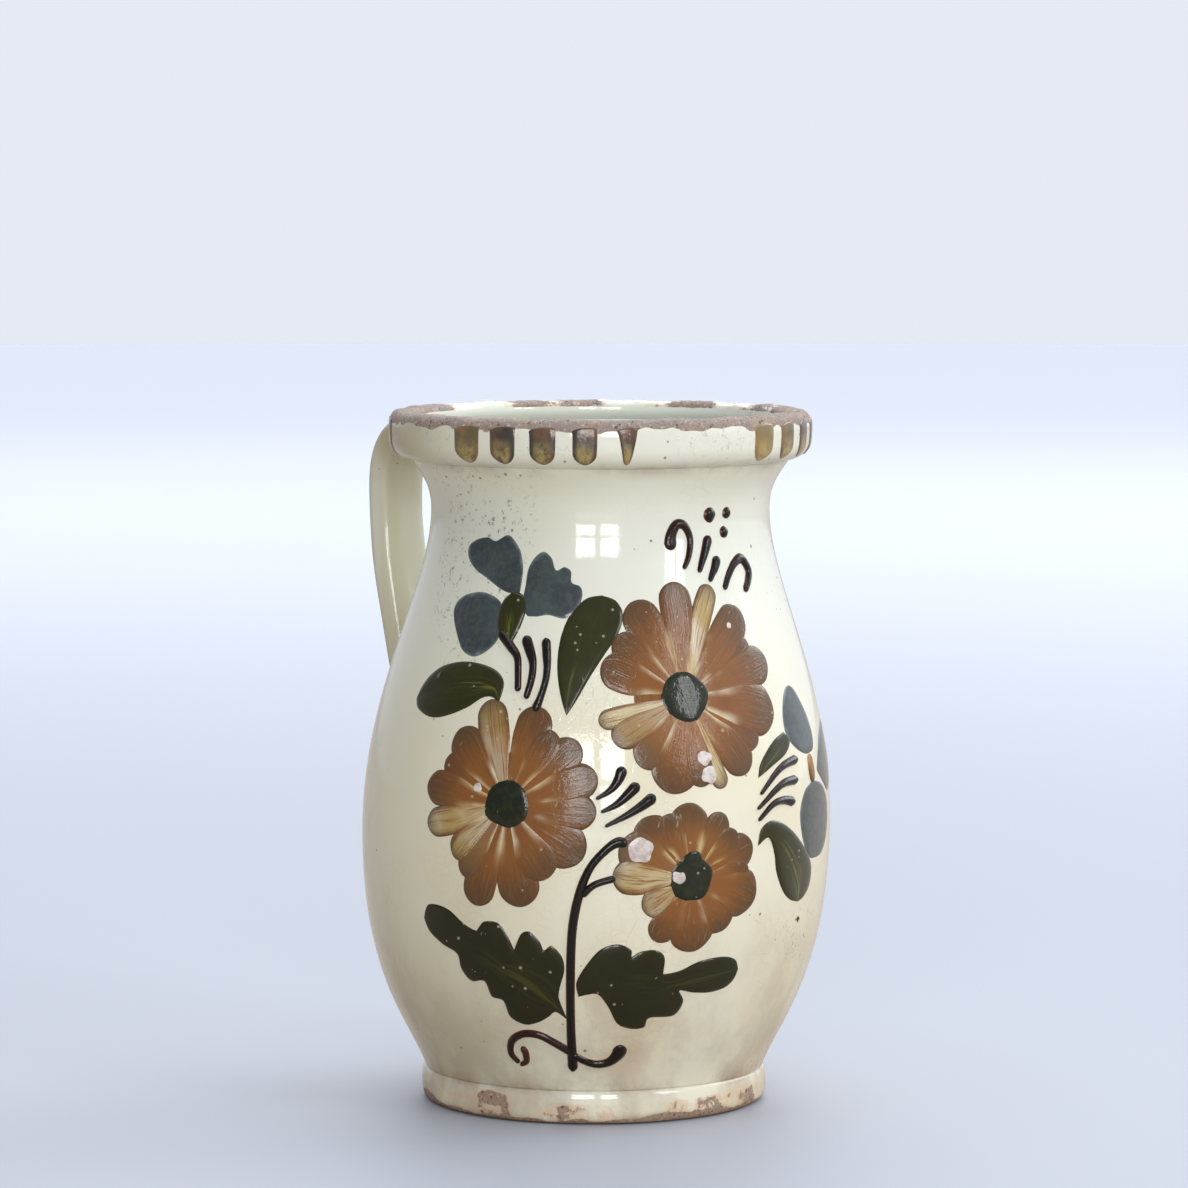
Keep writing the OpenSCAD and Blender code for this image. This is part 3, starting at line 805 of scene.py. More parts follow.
    def eye_surface(self, wires):
        """Green-black, speckled and slightly lumpy."""
        paint = self.paint
        spot = wires.object_place()
        blotch = wires.noise(spot, 380, 4, 0.6)
        dark = wires.mix(wires.step(blotch, 0.35, 0.75), paint.eye, swatch(40, 44, 24))
        colour_now, marks = self.worn_paint(wires, dark, 0.08)
        return {
            "Base_Color": colour_now,
            "Roughness": 0.3,
            "Coat_Weight": 1.0,
            "Coat_IOR": 1.32,
            "Coat_Roughness": 0.07,
            "height": wires.plus(wires.noise(spot, 330, 3, 0.6), wires.times(marks, -0.5)),
            "depth": 0.00026,
            "strength": 0.5,
        }

    def slate_surface(self, wires):
        """Blue-grey, mottled darker, with a paler soft fringe."""
        paint = self.paint
        spot = wires.object_place()
        brush = wires.group(self.brush, Fineness=0.7)
        mottle = wires.noise(spot, 520, 4, 0.7)
        broad = wires.noise(spot, 90, 3)
        petal = wires.mix(wires.step(mottle, 0.42, 0.66), swatch(52, 58, 60), paint.slate)
        petal = wires.mix(wires.times(wires.step(broad, 0.4, 0.7), 0.45), petal, swatch(78, 88, 88))
        petal = wires.mix(wires.times(wires.step(brush["Edge"], 0.8, 1.0), 0.7), petal, paint.slate_thin)
        pale = wires.math("SUBTRACT", 1.0, wires.trait("tone"))
        petal = wires.mix(wires.times(pale, 0.8), petal, paint.slate_thin)
        return {
            "Base_Color": petal,
            "Roughness": 0.34,
            "Coat_Weight": 0.9,
            "Coat_Roughness": 0.08,
            "height": wires.plus(mottle, wires.times(brush["Streak"], 0.4)),
            "depth": 0.00012,
            "strength": 0.4,
        }

    def umber_surface(self, wires):
        """Near-black beads of slip, rusty where they thin out at the edges."""
        paint = self.paint
        spot = wires.object_place()
        brush = wires.group(self.brush, Fineness=1.0)
        blotch = wires.noise(spot, 700, 3, 0.6)
        slip = wires.mix(wires.step(blotch, 0.55, 0.8), paint.umber, swatch(44, 26, 16))
        slip = wires.mix(wires.times(wires.step(brush["Edge"], 0.7, 0.92), 0.7), slip, paint.rust)
        faded = wires.math("SUBTRACT", 1.0, wires.trait("tone"))
        slip = wires.mix(faded, slip, paint.rust)
        return {
            "Base_Color": slip,
            "Roughness": 0.25,
            "Coat_Weight": 0.9,
            "Coat_IOR": 1.34,
            "Coat_Roughness": 0.05,
            "height": wires.plus(wires.times(blotch, 0.8), wires.noise(spot, 260, 2)),
            "depth": 0.00025,
            "strength": 0.5,
        }

    def rim_surface(self, wires):
        """Brown strokes with a thin golden-green middle, darkest at the top and along both sides."""
        paint = self.paint
        spot = wires.object_place()
        brush = wires.group(self.brush, Fineness=0.6)
        mottle = wires.noise(spot, 420, 4, 0.65)
        broad = wires.noise(spot, 130, 3)
        dark = wires.mix(wires.step(broad, 0.4, 0.62), swatch(112, 82, 60), swatch(64, 58, 52))
        dark = wires.mix(wires.times(wires.step(mottle, 0.45, 0.7), 0.5), dark, swatch(72, 58, 42))
        gold = wires.mix(wires.step(mottle, 0.35, 0.65), swatch(118, 104, 62), swatch(164, 146, 96))
        middle = wires.times(wires.step(brush["Edge"], 0.78, 0.4), wires.step(brush["Along"], 0.3, 0.7))
        middle = wires.times(middle, wires.step(brush["Along"], 0.97, 0.9), wires.step(mottle, 0.3, 0.5))
        stroke_colour = wires.mix(middle, dark, gold)
        pale = wires.math("SUBTRACT", 1.0, wires.trait("tone"))
        stroke_colour = wires.mix(pale, stroke_colour, paint.straw)
        return {
            "Base_Color": stroke_colour,
            "Roughness": 0.34,
            "Coat_Weight": 0.9,
            "Coat_Roughness": 0.08,
            "height": wires.plus(mottle, wires.times(brush["Streak"], 0.5)),
            "depth": 0.00018,
            "strength": 0.4,
        }


# ---------------------------------------------------------------------------------------------------------
# Thrown clay
# ---------------------------------------------------------------------------------------------------------

FLOOR_TOP = 8.0
FLOOR_RADIUS = 46.0
COVE_RADIUS = 43.0
RIM_SEAT_STEP = 5.9
LIP_STEP = 3.4


def oval(a, z, middle, level, wide, tall):
    """A soft oval on the wall: exp(-(da/wide)^2 - (dz/tall)^2)."""
    away = (a - middle + 180) % 360 - 180
    return np.exp(-((away / wide) ** 2)) * np.exp(-(((z - level) / tall) ** 2))


def wall_tan(a, z):
    """An olive cast down the handle's side and low on both sides of the flowers."""
    side = 0.3 * oval(a, z, -75, 110, 45, 120) + 0.35 * oval(a, z, -50, 30, 30, 26)
    return side + 0.12 * oval(a, z, 60, 40, 26, 22) + 0.25 * oval(a, z, 180, 50, 60, 40)


def wall_crowd(a, z):
    """Specks gather on the neck by the handle, with a few down the belly's side."""
    return (oval(a, z, -46, 166, 24, 28) + 0.4 * oval(a, z, 68, 56, 12, 26)
            + 0.5 * oval(a, z, 150, 120, 40, 50))


class JUG_OT_throw_wall(bpy.types.Operator):
    """Throw the wall: belly, shoulder, neck and the flare under the rim"""

    bl_idname = "jug.throw_wall"
    bl_label = "Throw the wall"

    def execute(self, context):
        form = context.scene.jug_form
        outer = wall_outline(form)
        lip = form.rim_radius - RIM_SEAT_STEP - LIP_STEP
        inner = outer[outer[:, 1] > form.foot_height + form.wall][::-3] - [form.wall, 0]
        inner[:2, 0] = lip
        sunk = FLOOR_TOP - 0.9
        cove = bezier([inner[-1], inner[-1] - [1, 5], [COVE_RADIUS + 3, sunk + 0.4], [COVE_RADIUS, sunk]], 8)
        seat = np.array([[FLOOR_RADIUS, sunk], [FLOOR_RADIUS, form.foot_height]])
        loop = np.concatenate([seat, outer, inner, cove[1:]])
        a = np.linspace(0, 360, form.around, endpoint=False) - form.decor_face
        z = loop[:, 1:]
        inside = np.arange(len(loop))[:, None] >= len(seat) + len(outer)
        # Inside the wall, more darkening and a tan of -0.5 paint a darker, cool shade.
        wall = spun(form, loop, bare=0.0, stain=0.0, dirt=self.dirt(form, loop) + 0.3 * inside,
                    tan=wall_tan(a, z) * ~inside - 0.5 * inside, crowd=wall_crowd(a, z) * ~inside)
        glazes = Glazes.of(context)
        make_piece(context, "thrown_wall", [wall], glazes.body, ["jug_wall"])
        return {"FINISHED"}

    def dirt(self, form, loop):
        """Soiling and painted shade: a grey line in the crease under the rim band, and a mottled darkening
        round the foot's crease.
        """
        z = loop[:, 1]
        under_band = np.exp(-(((z - (form.jug_height - form.rim_height)) / 2.2) ** 2))
        at_foot = np.exp(-(((z - form.foot_height) / 3.0) ** 2))
        return (0.8 * under_band + 0.7 * at_foot)[:, None]


class JUG_OT_cut_floor(bpy.types.Operator):
    """Cut the floor from the wheel: a spiral inside, wire-cut bare clay beneath"""

    bl_idname = "jug.cut_floor"
    bl_label = "Cut the floor"

    def execute(self, context):
        form = context.scene.jug_form
        turn = full_turn(form)
        under_r = np.array([0.4, 8, 16, 24, 32, 38, 42, 44.5, 45.6, FLOOR_RADIUS])
        under_z = np.array([0.9, 0.9, 0.9, 0.85, 0.8, 0.7, 0.5, 0.3, 0.4, 1.0])
        top_r = np.linspace(FLOOR_RADIUS, 0.4, 70)
        top_z = FLOOR_TOP - 0.02 + 0 * top_r
        loop = np.stack([np.concatenate([under_r, top_r]), np.concatenate([under_z, top_z])], axis=-1)
        centre = np.exp(-((loop[:, :1] / 9) ** 2))
        spiral = np.cos(2 * np.pi * loop[:, :1] / 7 - turn) * smooth((COVE_RADIUS - loop[:, :1]) / 12)
        on_top = np.concatenate([0 * under_r, 1 + 0 * top_r])[:, None]
        wire = 0.12 * np.sin(loop[:, :1] * np.sin(turn + 0.4) * 1.3)
        lift = on_top * (0.5 * centre - 0.35 + 0.3 * spiral) + (1 - on_top) * wire * smooth(loop[:, :1] / 6)
        # The glazed top inside is darkened a little, a painted shade like the inside of the wall.
        floor = spun(form, loop, ring=False, lift=lift, bare=1 - on_top, stain=0.0, dirt=0.3 * on_top,
                     tan=0.0, crowd=0.0)
        glazes = Glazes.of(context)
        make_piece(context, "cut_floor", [floor], glazes.body, ["floor_disc"])
        return {"FINISHED"}


class JUG_OT_turn_foot(bpy.types.Operator):
    """Turn the foot ring, with its bare lower edge and chipped glaze"""

    bl_idname = "jug.turn_foot"
    bl_label = "Turn the foot"

    def execute(self, context):
        form = context.scene.jug_form
        turn = full_turn(form)
        face = np.degrees(turn) - form.decor_face
        face = (face + 180) % 360 - 180
        r, top = form.foot_radius, form.foot_height
        inner = np.array([[FLOOR_RADIUS, top], [FLOOR_RADIUS, 4], [FLOOR_RADIUS, 1.2],
                          [FLOOR_RADIUS + 0.6, 0.2]])
        sole = np.array([[47.5, 0], [49, 0]])
        edge = bezier([[r - 2.4, 0], [r - 1, 0.1], [r - 0.3, 1.2], [r - 0.1, 3]], 9)
        face_curve = bezier([[r - 0.1, 3], [r + 0.05, 5], [r + 0.05, 8], [r - 0.5, top - 0.6]], 12)
        crease = bezier([[r - 0.5, top - 0.6], [r - 0.8, top - 0.1], [r - 1.1, top], [r - 1.3, top]], 5)
        loop = np.concatenate([inner, sole, edge, face_curve[1:], crease[1:], [[r - 3.5, top]]])
        z = loop[:, 1:]
        outside = (loop[:, :1] > r - 3).astype(float)
        edge_line = 1.0 + 0.5 * waves(turn, 11, 3, 30) + 1.9 * np.exp(-(((face - 30) / 22) ** 2))
        edge_line = edge_line + 2.6 * np.exp(-(((face + 78) / 16) ** 2))
        bare = smooth(0.5 + (edge_line - z) / 1.6)
        patch = np.exp(-(((face + 36) / 6.5) ** 2)) * np.exp(-(((z - 6.4) / 2.3) ** 2))
        chip = np.exp(-(((face + 10) / 1.6) ** 2)) * np.exp(-(((z - 4.6) / 1.0) ** 2))
        bare = np.maximum(bare, np.maximum(1.2 * patch, 1.3 * chip))
        cloud = 0.36 + 0.16 * waves(turn, 14, 4, 22) + 0.06 * waves(turn, 15, 30, 70)
        bare = np.maximum(bare, np.clip(cloud, 0, 0.6) * smooth((8.5 - z) / 3))
        bare = np.where(outside > 0, bare, 1.0)
        stain = 0.8 * np.exp(-(((face - 28) / 20) ** 2)) * smooth((4 - z) / 3) * outside
        dent = outside * smooth((bare - 0.4) / 0.3) * (0.12 + 0.06 * waves(turn, 12, 20, 90))
        dent = dent + outside * (0.3 + 0.14 * waves(turn, 16, 3, 11))
        # Darker towards the top of the foot: soiling and painted shade in the crease under the belly.
        foot = spun(form, loop, dent=dent, bare=bare, stain=stain, dirt=0.12 + 0.4 * smooth((z - 8) / 2),
                    tan=0.0, crowd=0.1)
        glazes = Glazes.of(context)
        make_piece(context, "turned_foot", [foot], glazes.body, ["foot_ring"])
        return {"FINISHED"}


class JUG_OT_fold_rim(bpy.types.Operator):
    """Fold the rim band over the mouth, worn bare along its top"""

    bl_idname = "jug.fold_rim"
    bl_label = "Fold the rim"

    def execute(self, context):
        form = context.scene.jug_form
        turn = full_turn(form)
        face = (np.degrees(turn) - form.decor_face + 180) % 360 - 180
        top, seat = form.jug_height, form.rim_radius - RIM_SEAT_STEP
        lip = seat - LIP_STEP
        outside = band_outline(form)
        crown = np.linspace([form.rim_radius - 3.3, top - 0.05], [lip + 3.0, top - 0.05], 6)
        bore = bezier([[lip + 2.4, top - 0.1], [lip + 0.8, top - 0.3], [lip, top - 1.4], [lip, top - 3]], 8)
        under = np.array([[lip, top - 6], [seat, top - 6], [seat, top - form.rim_height + 4]])
        loop = np.concatenate([outside, crown, bore, under])
        z = loop[:, 1:]
        worn_line = top - 3.3 + 0.55 * waves(turn, 21, 4, 18) + 0.35 * waves(turn, 22, 25, 80)
        notch = np.exp(-(((face - 86) / 6) ** 2))
        bare = smooth(0.5 + (z - worn_line + 2.2 * notch) / 1.1)
        behind = smooth((np.abs(face) - 88) / 30)
        bare = np.where(np.arange(len(loop))[:, None] >= len(outside) - 4,
                        bare * (1 - behind * (0.55 + 0.2 * waves(turn, 25, 6, 20))), bare)
        inside = np.arange(len(loop))[:, None] >= len(outside) + len(crown)
        bare = np.where(inside & (z < top - 2.2), 0.1, bare)
        on_top = smooth((z - top + 4.5) / 3)
        wear = on_top * (0.3 + 0.22 * waves(turn, 23, 8, 40) + 0.12 * waves(turn, 24, 50, 140))
        lift = -0.75 * wear * smooth((z - top + 2) / 2) - 1.4 * notch * on_top
        dent = 0.55 * wear * (loop[:, :1] > form.rim_radius - 2) + 0.5 * notch * on_top
        stain = (0.9 * np.exp(-(((face + 78) / 9) ** 2)) * smooth((z - top + 13) / 6)
                 * (loop[:, :1] > seat + 2))
        # Soiling and painted shade along the band's lower edge, where it meets the neck.
        crease = np.exp(-(((z - (top - form.rim_height)) / 1.6) ** 2))
        tan = 0.95 * np.exp(-(((face + 70) / 22) ** 2)) * (loop[:, :1] > seat + 2)
        rim = spun(form, loop, dent=dent, lift=lift, bare=bare, stain=stain, dirt=0.9 * crease, tan=tan,
                   crowd=0.15)
        glazes = Glazes.of(context)
        make_piece(context, "folded_rim", [rim], glazes.body, ["rim_band"])
        return {"FINISHED"}


# ---------------------------------------------------------------------------------------------------------
# Strap handle
# ---------------------------------------------------------------------------------------------------------

SECTION_POWER = 0.62
STRAP_ROWS_TOP = 60
STRAP_ROWS_SIDE = 100


def strap_path(form):
    """Middle line of the strap in the Y-Z plane: out from the rim, over, and down into the belly."""
    root = [form.rim_radius - 3.9, form.jug_height - 8]
    reach, high = form.strap_reach, form.neck_height
    top = bezier([root, [reach - 5.5, root[1] + 2], [reach + 0.5, root[1] - 4], [reach, high]],
                 STRAP_ROWS_TOP)
    landing = [form.belly_radius - 4.2, form.belly_height + 16]
    side = bezier([[reach, high], [reach, high - 20], [reach - 8, form.belly_height + 46], landing],
                  STRAP_ROWS_SIDE)
    return np.concatenate([top, side[1:]])


def strap_spread(s):
    """The strap is wider where it leaves the rim and where it is pressed on the belly."""
    return 1 + 0.16 * (1 - s) ** 6 + 0.2 * s**8


def strap_press(s):
    return 1 - 0.5 * s**9


def squared(c, s):
    """c raised to the section's power, which grows to 1, a plain oval, at the pressed end."""
    return np.sign(c) * np.abs(c) ** (SECTION_POWER + (1 - SECTION_POWER) * smooth((s - 0.8) / 0.14))


def strap_skin(form, rows, sides, grow=0.0):
    """Places on the strap: a rounded oblong, x = w |cos|^p and out = d |sin|^p, carried along its path."""
    path = strap_path(form)
    s = np.linspace(0, 1, len(path))
    run = np.gradient(path, axis=0)
    run /= np.linalg.norm(run, axis=1)[:, None]
    angle = -np.linspace(0, 2 * np.pi, sides, endpoint=False)
    wander = 1 + 0.012 * np.sin(9 * s[:, None] + angle) + 0.01 * np.sin(23 * s[:, None] - 2 * angle)
    width = ((form.strap_width / 2 * strap_spread(s)[:, None] * wander + grow)
             * squared(np.cos(angle), s[:, None]))
    depth = ((form.strap_depth / 2 * strap_press(s)[:, None] * wander + grow)
             * squared(np.sin(angle), s[:, None]))
    y = path[:, :1] - run[:, 1:] * depth
    z = path[:, 1:] + run[:, :1] * depth
    return np.stack([width, y, z], axis=-1)[rows]


class JUG_OT_pull_handle(bpy.types.Operator):
    """Pull the strap and bend it from the rim to the belly"""

    bl_idname = "jug.pull_handle"
    bl_label = "Pull the handle"

    def execute(self, context):
        form = context.scene.jug_form
        places = strap_skin(form, slice(None), 64)
        z = places[..., 2]
        y = places[..., 1]
        dirt = 0.5 * smooth((z - 176) / 20) + 0.25 * smooth((120 - z) / 20)
        outer = smooth((y - form.strap_reach + 1) / 4)
        bare = 0.42 * outer * np.exp(-(((z - 192) / 6) ** 2))
        stain = 0.75 * smooth((z - 199) / 5) * smooth((76 - y) / 8)
        angle = np.linspace(0, 2 * np.pi, places.shape[1], endpoint=False)
        corner = np.abs(np.sin(2 * angle)) ** 2.5 * (np.sin(-angle) > 0)
        bare = np.maximum(bare, 0.38 * corner)
        dirt = dirt + 1.1 * corner
        stain = np.maximum(stain, 0.65 * corner)
        tan = 0.3 + 0.25 * smooth((form.strap_reach - y) / 4) + 0.35 * smooth((z - 188) / 12)
        strap = Patch(leaned(form, places), bare=bare, stain=stain, dirt=dirt, tan=tan, crowd=0.1)
        glazes = Glazes.of(context)
        make_piece(context, "pulled_strap", [strap], glazes.body, ["handle_strap"])
        return {"FINISHED"}


class JUG_OT_lute_handle(bpy.types.Operator):
    """Lute the strap on: a fillet of clay round its root and a thumbed pad on the belly"""

    bl_idname = "jug.lute_handle"
    bl_label = "Lute the handle"

    def execute(self, context):
        form = context.scene.jug_form
        glazes = Glazes.of(context)
        root = [self.fillet(form)]
        make_piece(context, "luted_root", root, glazes.body, ["handle_upper_joint"])
        pad = [self.pad(form)]
        make_piece(context, "luted_pad", pad, glazes.body, ["handle_lower_joint"])
        return {"FINISHED"}

    def fillet(self, form):
        """Round the root, a quadratic Bezier from a footprint on the band to the strap 6 mm out; the loop
        comes back inside the strap."""
        sides = 64
        out_row = 13
        near_row = 6
        on_strap = strap_skin(form, out_row, sides, 0.05)
        corner = strap_skin(form, near_row, sides, 0.15)
        wide = strap_skin(form, near_row, sides, 2.6)
        low, top = form.jug_height - form.rim_height + 1.6, form.jug_height - 1.9
        foot_z = np.clip(wide[:, 2], low, top)
        foot_r = np.interp(foot_z, band_outline(form)[:, 1], band_outline(form)[:, 0]) - 0.35
        foot = np.stack([wide[:, 0], np.sqrt(foot_r**2 - wide[:, 0] ** 2), foot_z], axis=-1)
        corner[:, 2] = np.clip(corner[:, 2], low, top + 0.6)
        t = np.linspace(0, 1, 12)[:, None, None]
        fillet = foot * (1 - t) ** 2 + 2 * corner * t * (1 - t) + on_strap * t**2
        heart = on_strap.mean(axis=0)
        inner_out = on_strap + (heart - on_strap) * 0.15
        inner_root = foot + (foot.mean(axis=0) - foot) * 0.4 - [0, 1.5, 0]
        rings = np.concatenate([fillet, inner_out[None], inner_root[None]])
        stain = 0.6 * smooth((rings[..., 2] - 200) / 6)
        return Patch(leaned(form, rings), ring=True, bare=0.0, stain=0.5 * stain, dirt=0.6, tan=0.75,
                     crowd=0.1)

    def pad(self, form):
        """The strap's own height above the wall, blurred by a Gaussian so that it slopes into the belly."""
        skin = wall_skin(form)
        rows, columns = 96, 72
        z = np.linspace(form.belly_height, form.belly_height + 44, rows)
        x = np.linspace(-21, 21, columns)
        path = strap_path(form)[STRAP_ROWS_TOP:]
        s = np.linspace(STRAP_ROWS_TOP / (STRAP_ROWS_TOP + STRAP_ROWS_SIDE), 1, len(path))
        order = np.argsort(path[:, 1])
        centre = np.interp(z, path[order, 1], path[order, 0])
        share = np.interp(z, path[order, 1], s[order])
        deep = form.strap_depth / 2 * strap_press(share)
        wide = form.strap_width / 2 * strap_spread(share)
        fade = smooth((z - path[-1, 1] + 4) / 10) * smooth((form.belly_height + 41 - z) / 9)
        power = 2 / SECTION_POWER
        body = np.maximum(1 - np.abs(x / wide[:, None]) ** power, 0) ** (1 / power)
        ledge = centre[:, None] + deep[:, None] * body - skin.radius(z)[:, None] + x**2 / (2 * 70)
        ledge = np.where(body > 0, np.maximum(ledge, 0), 0) * fade[:, None]
        soften = self.blur(z, 4.2) @ ledge @ self.blur(x, 3.4).T
        margin = smooth((21 - np.abs(x)) / 5) * (smooth((z - z[0]) / 5) * smooth((z[-1] - z) / 5))[:, None]
        gain = 1.04 + 0.6 * smooth((form.belly_height + 34 - z) / 14)[:, None]
        rise = soften * gain * margin - 0.12
        a = (90 - form.decor_face) + skin.degrees(-x[::-1], z[:, None])
        top = skin.place(a[:, ::-1], z[:, None] + 0 * x, rise)
        under = skin.place(a, z[:, None] + 0 * x, -0.6 + 0 * rise)[:, ::6]
        rings = np.concatenate([top[:, ::-1], under[:, ::-1]], axis=1)
        raised = smooth(rise / 2.5)
        raised = np.concatenate([raised[:, ::-1], 0 * under[..., 0]], axis=1)
        turn = np.concatenate([a, a[:, ::6][:, ::-1]], axis=1)
        tan = wall_tan(turn, z[:, None])
        return Patch(rings, bare=0.0, stain=0.0, dirt=0.3 * raised, tan=tan + (0.4 - tan) * raised,
                     crowd=wall_crowd(turn, z[:, None]))

    def blur(self, at, sigma):
        """Gaussian weights between every two places, each row adding up to 1."""
        weights = np.exp(-(((at[:, None] - at[None]) / sigma) ** 2) / 2)
        return weights / weights.sum(axis=1)[:, None]


# ---------------------------------------------------------------------------------------------------------
# Brushed flowers and leaves
# ---------------------------------------------------------------------------------------------------------

# Each flower: the eye's place and radius, then petals as direction in degrees anticlockwise from level,
# length from the eye's middle, full width, and how strong the ochre is.
ROSETTES = {
    "rosette_upper": ((23, 128.5), 7.2, [
        (-128, 25, 11, 0.95), (-103, 28.5, 13.5, 1), (-81, 26.5, 9, 1), (-68, 29, 6, 0.25),
        (-49, 30.5, 11, 1), (-12, 34, 14.5, 1), (-31, 29, 10, 1), (15, 34, 11, 1), (46, 33.5, 10.5, 1),
        (30, 29, 9, 1), (68, 34, 7, 0.3), (90, 33, 10, 1), (116, 30.5, 11, 1), (137, 26, 9, 1),
        (157, 26, 11, 1), (-166, 27.5, 6, 0.2), (-152, 26, 9, 0.6)]),
    "rosette_left": ((-22, 97.5), 6.6, [
        (-58, 25, 12, 1), (-34, 28, 13, 1), (-4, 27, 10.5, 1), (18, 28, 10, 1), (42, 27.5, 10, 1),
        (75, 29.5, 11, 1), (59, 25, 9, 1), (105, 31, 10, 0.6), (131, 27.5, 11, 1), (173, 29, 10, 1),
        (152, 25, 10, 1), (-165, 29, 9, 0.35), (-136, 24, 9, 0.4), (-80, 30.5, 12.5, 1),
        (-108, 32, 10, 1), (-122, 26, 8, 0.9)]),
    "rosette_lower": ((23, 75.5), 6.7, [
        (-52, 20, 12, 1), (-19, 24, 13.5, 1), (23, 23, 10.5, 1), (2, 20, 9, 1), (42, 20, 8, 1),
        (61, 21.5, 8, 1), (92, 22.5, 12, 1), (113, 21, 9, 1), (133, 24, 12, 1), (153, 24.5, 13, 0.95),
        (175, 24, 10, 0.3), (-150, 17, 9, 0.5), (-120, 21, 8.5, 1), (-84, 22, 13, 1), (-102, 19, 8, 1)]),
}
WASH_SHARE = 0.78
# Flakes knocked out of the paint, their pale colour partly a painted window glint: place and radius. The
# small one at 40.7 degrees and 148 mm is only a painted glint.
FLAKES_AND_GLINTS = {
    "rosette_upper": [((26.7, 110.6), 2.9), ((27.7, 105.8), 3.2), ((40.7, 148), 1.2)],
    "rosette_left": [((-29.9, 101.8), 1.7)],
    "rosette_lower": [((10.3, 84.6), 4.7)],
}
EYE_SHARES = {"rosette_upper": 1.12, "rosette_left": 1.17, "rosette_lower": 1.1}


class JUG_OT_brush_rosettes(bpy.types.Operator):
    """Brush the ochre flowers, petal by petal over a straw-coloured wash, and dab their eyes"""

    bl_idname = "jug.brush_rosettes"
    bl_label = "Brush the rosettes"

    def execute(self, context):
        form, paint = context.scene.jug_form, context.scene.jug_paint
        skin = wall_skin(form)
        glazes = Glazes.of(context)
        for number, (name, (place, eye, petals)) in enumerate(ROSETTES.items()):
            shortest = min(petal[1] for petal in petals)
            thin = paint.paint_height * 0.6
            patches = [dab(skin, place, shortest * WASH_SHARE, thin - 0.06, paint.key, tone=1.0, seed=number)]
            patches += [self.petal(skin, paint, place, eye, petal, 20 * number + k)
                        for k, petal in enumerate(petals)]
            # Pale flakes on the petals, partly painted window glints.
            patches += [dab(skin, spot, r, thin + 0.13, paint.key, lumps=0.09, seed=number + k,
                            tone=2.0, dome=8)
                        for k, (spot, r) in enumerate(FLAKES_AND_GLINTS[name])]
            make_piece(context, name + "_brushed", patches, glazes.ochre, [name + "_petals"])
            eyes = [dab(skin, place, eye * EYE_SHARES[name], 0.62, paint.key, lumps=0.05, seed=number,
                        dome=9)]
            if name == "rosette_lower":
                eyes.append(dab(skin, (place[0], place[1] + 4.4), 4.2, 0.6, paint.key, lumps=0.05,
                                seed=9, dome=8))
                eyes.append(dab(skin, (place[0] - 3.2, place[1] + 0.6), 2.5, 0.7, paint.key, lumps=0.1,
                                seed=3, tone=2.0, dome=8))
            make_piece(context, name + "_dabbed", eyes, glazes.eye, [name + "_eye"])
        return {"FINISHED"}

    def petal(self, skin, paint, place, eye, petal, seed):
        """One petal: a flat-topped stroke straight out from the eye, widest two thirds of the way."""
        direction, reach, width, tone = petal
        rng = np.random.default_rng(seed)
        bend = rng.uniform(-2.5, 2.5)
        rho = np.linspace(eye * 0.92, reach, 5)
        heading = np.radians(direction + bend * np.array([0, 0.5, 1, 0.5, 0]))
        z = place[1] + rho * np.sin(heading)
        a = place[0] + skin.degrees(rho * np.cos(heading), z)
        spine = np.stack([a, z], axis=-1)
        halves = np.array([0.36, 0.64, 0.94, 1.0, 0.88]) * width / 2 * rng.uniform(1.06, 1.14)
        lift = 0.04 * (seed % 3)
        return stroke(skin, spine, halves, paint.paint_height * 0.6, paint.key, dome=12, rows=30, across=13,
                      lift=lift, tone=tone, seed=float(seed), ends=(0.3, 0.92))


# Blue-grey petals as left edge, right edge and middle line, from the flower's heart outwards.
BLUET_LEFT = [
    ([(-25, 157.7), (-30.7, 158.4), (-38.5, 162), (-44, 164.3), (-48, 167.5), (-48.6, 171), (-44.6, 173.2),
      (-39.4, 174)],
     [(-25, 157.7), (-24.6, 161), (-24.4, 165.2), (-25.8, 170.3), (-28.6, 173.8), (-31.4, 175.2),
      (-35.8, 173), (-39.4, 174)],
     [(-25, 157.7), (-28.5, 160.5), (-31.5, 163.5), (-34, 166), (-36, 168.5), (-37.5, 170.5), (-38.5, 172.3),
      (-39.4, 174)]),
    ([(-22, 151.6), (-24, 156), (-23.8, 160.5), (-23.4, 166), (-21, 169.8), (-18.2, 171), (-15.6, 169),
      (-14, 165.4), (-11.2, 166.4), (-9, 165), (-9, 161.6), (-6.4, 160.8)],
     [(-22, 151.6), (-18.5, 151.4), (-14.9, 151.8), (-10.3, 150.7), (-7, 152), (-5.2, 155.8), (-5, 159),
      (-6.4, 160.8)],
     [(-22, 151.6), (-19.5, 155), (-17.5, 158), (-15, 160), (-12.5, 161), (-9.5, 161.3), (-6.4, 160.8)]),
    ([(-29.5, 150.2), (-29.5, 145), (-31.8, 141.3), (-36.3, 138.7), (-40.9, 139.9), (-44.5, 144),
      (-48.4, 150)],
     [(-29.5, 150.2), (-31, 155.8), (-37.4, 158.4), (-44, 157.7), (-48.2, 155.5), (-49.3, 152.8),
      (-48.4, 150)],
     [(-29.5, 150.2), (-33, 149.5), (-36.5, 149.2), (-40, 149.2), (-43.5, 149.5), (-46, 149.8),
      (-48.4, 150)]),
]
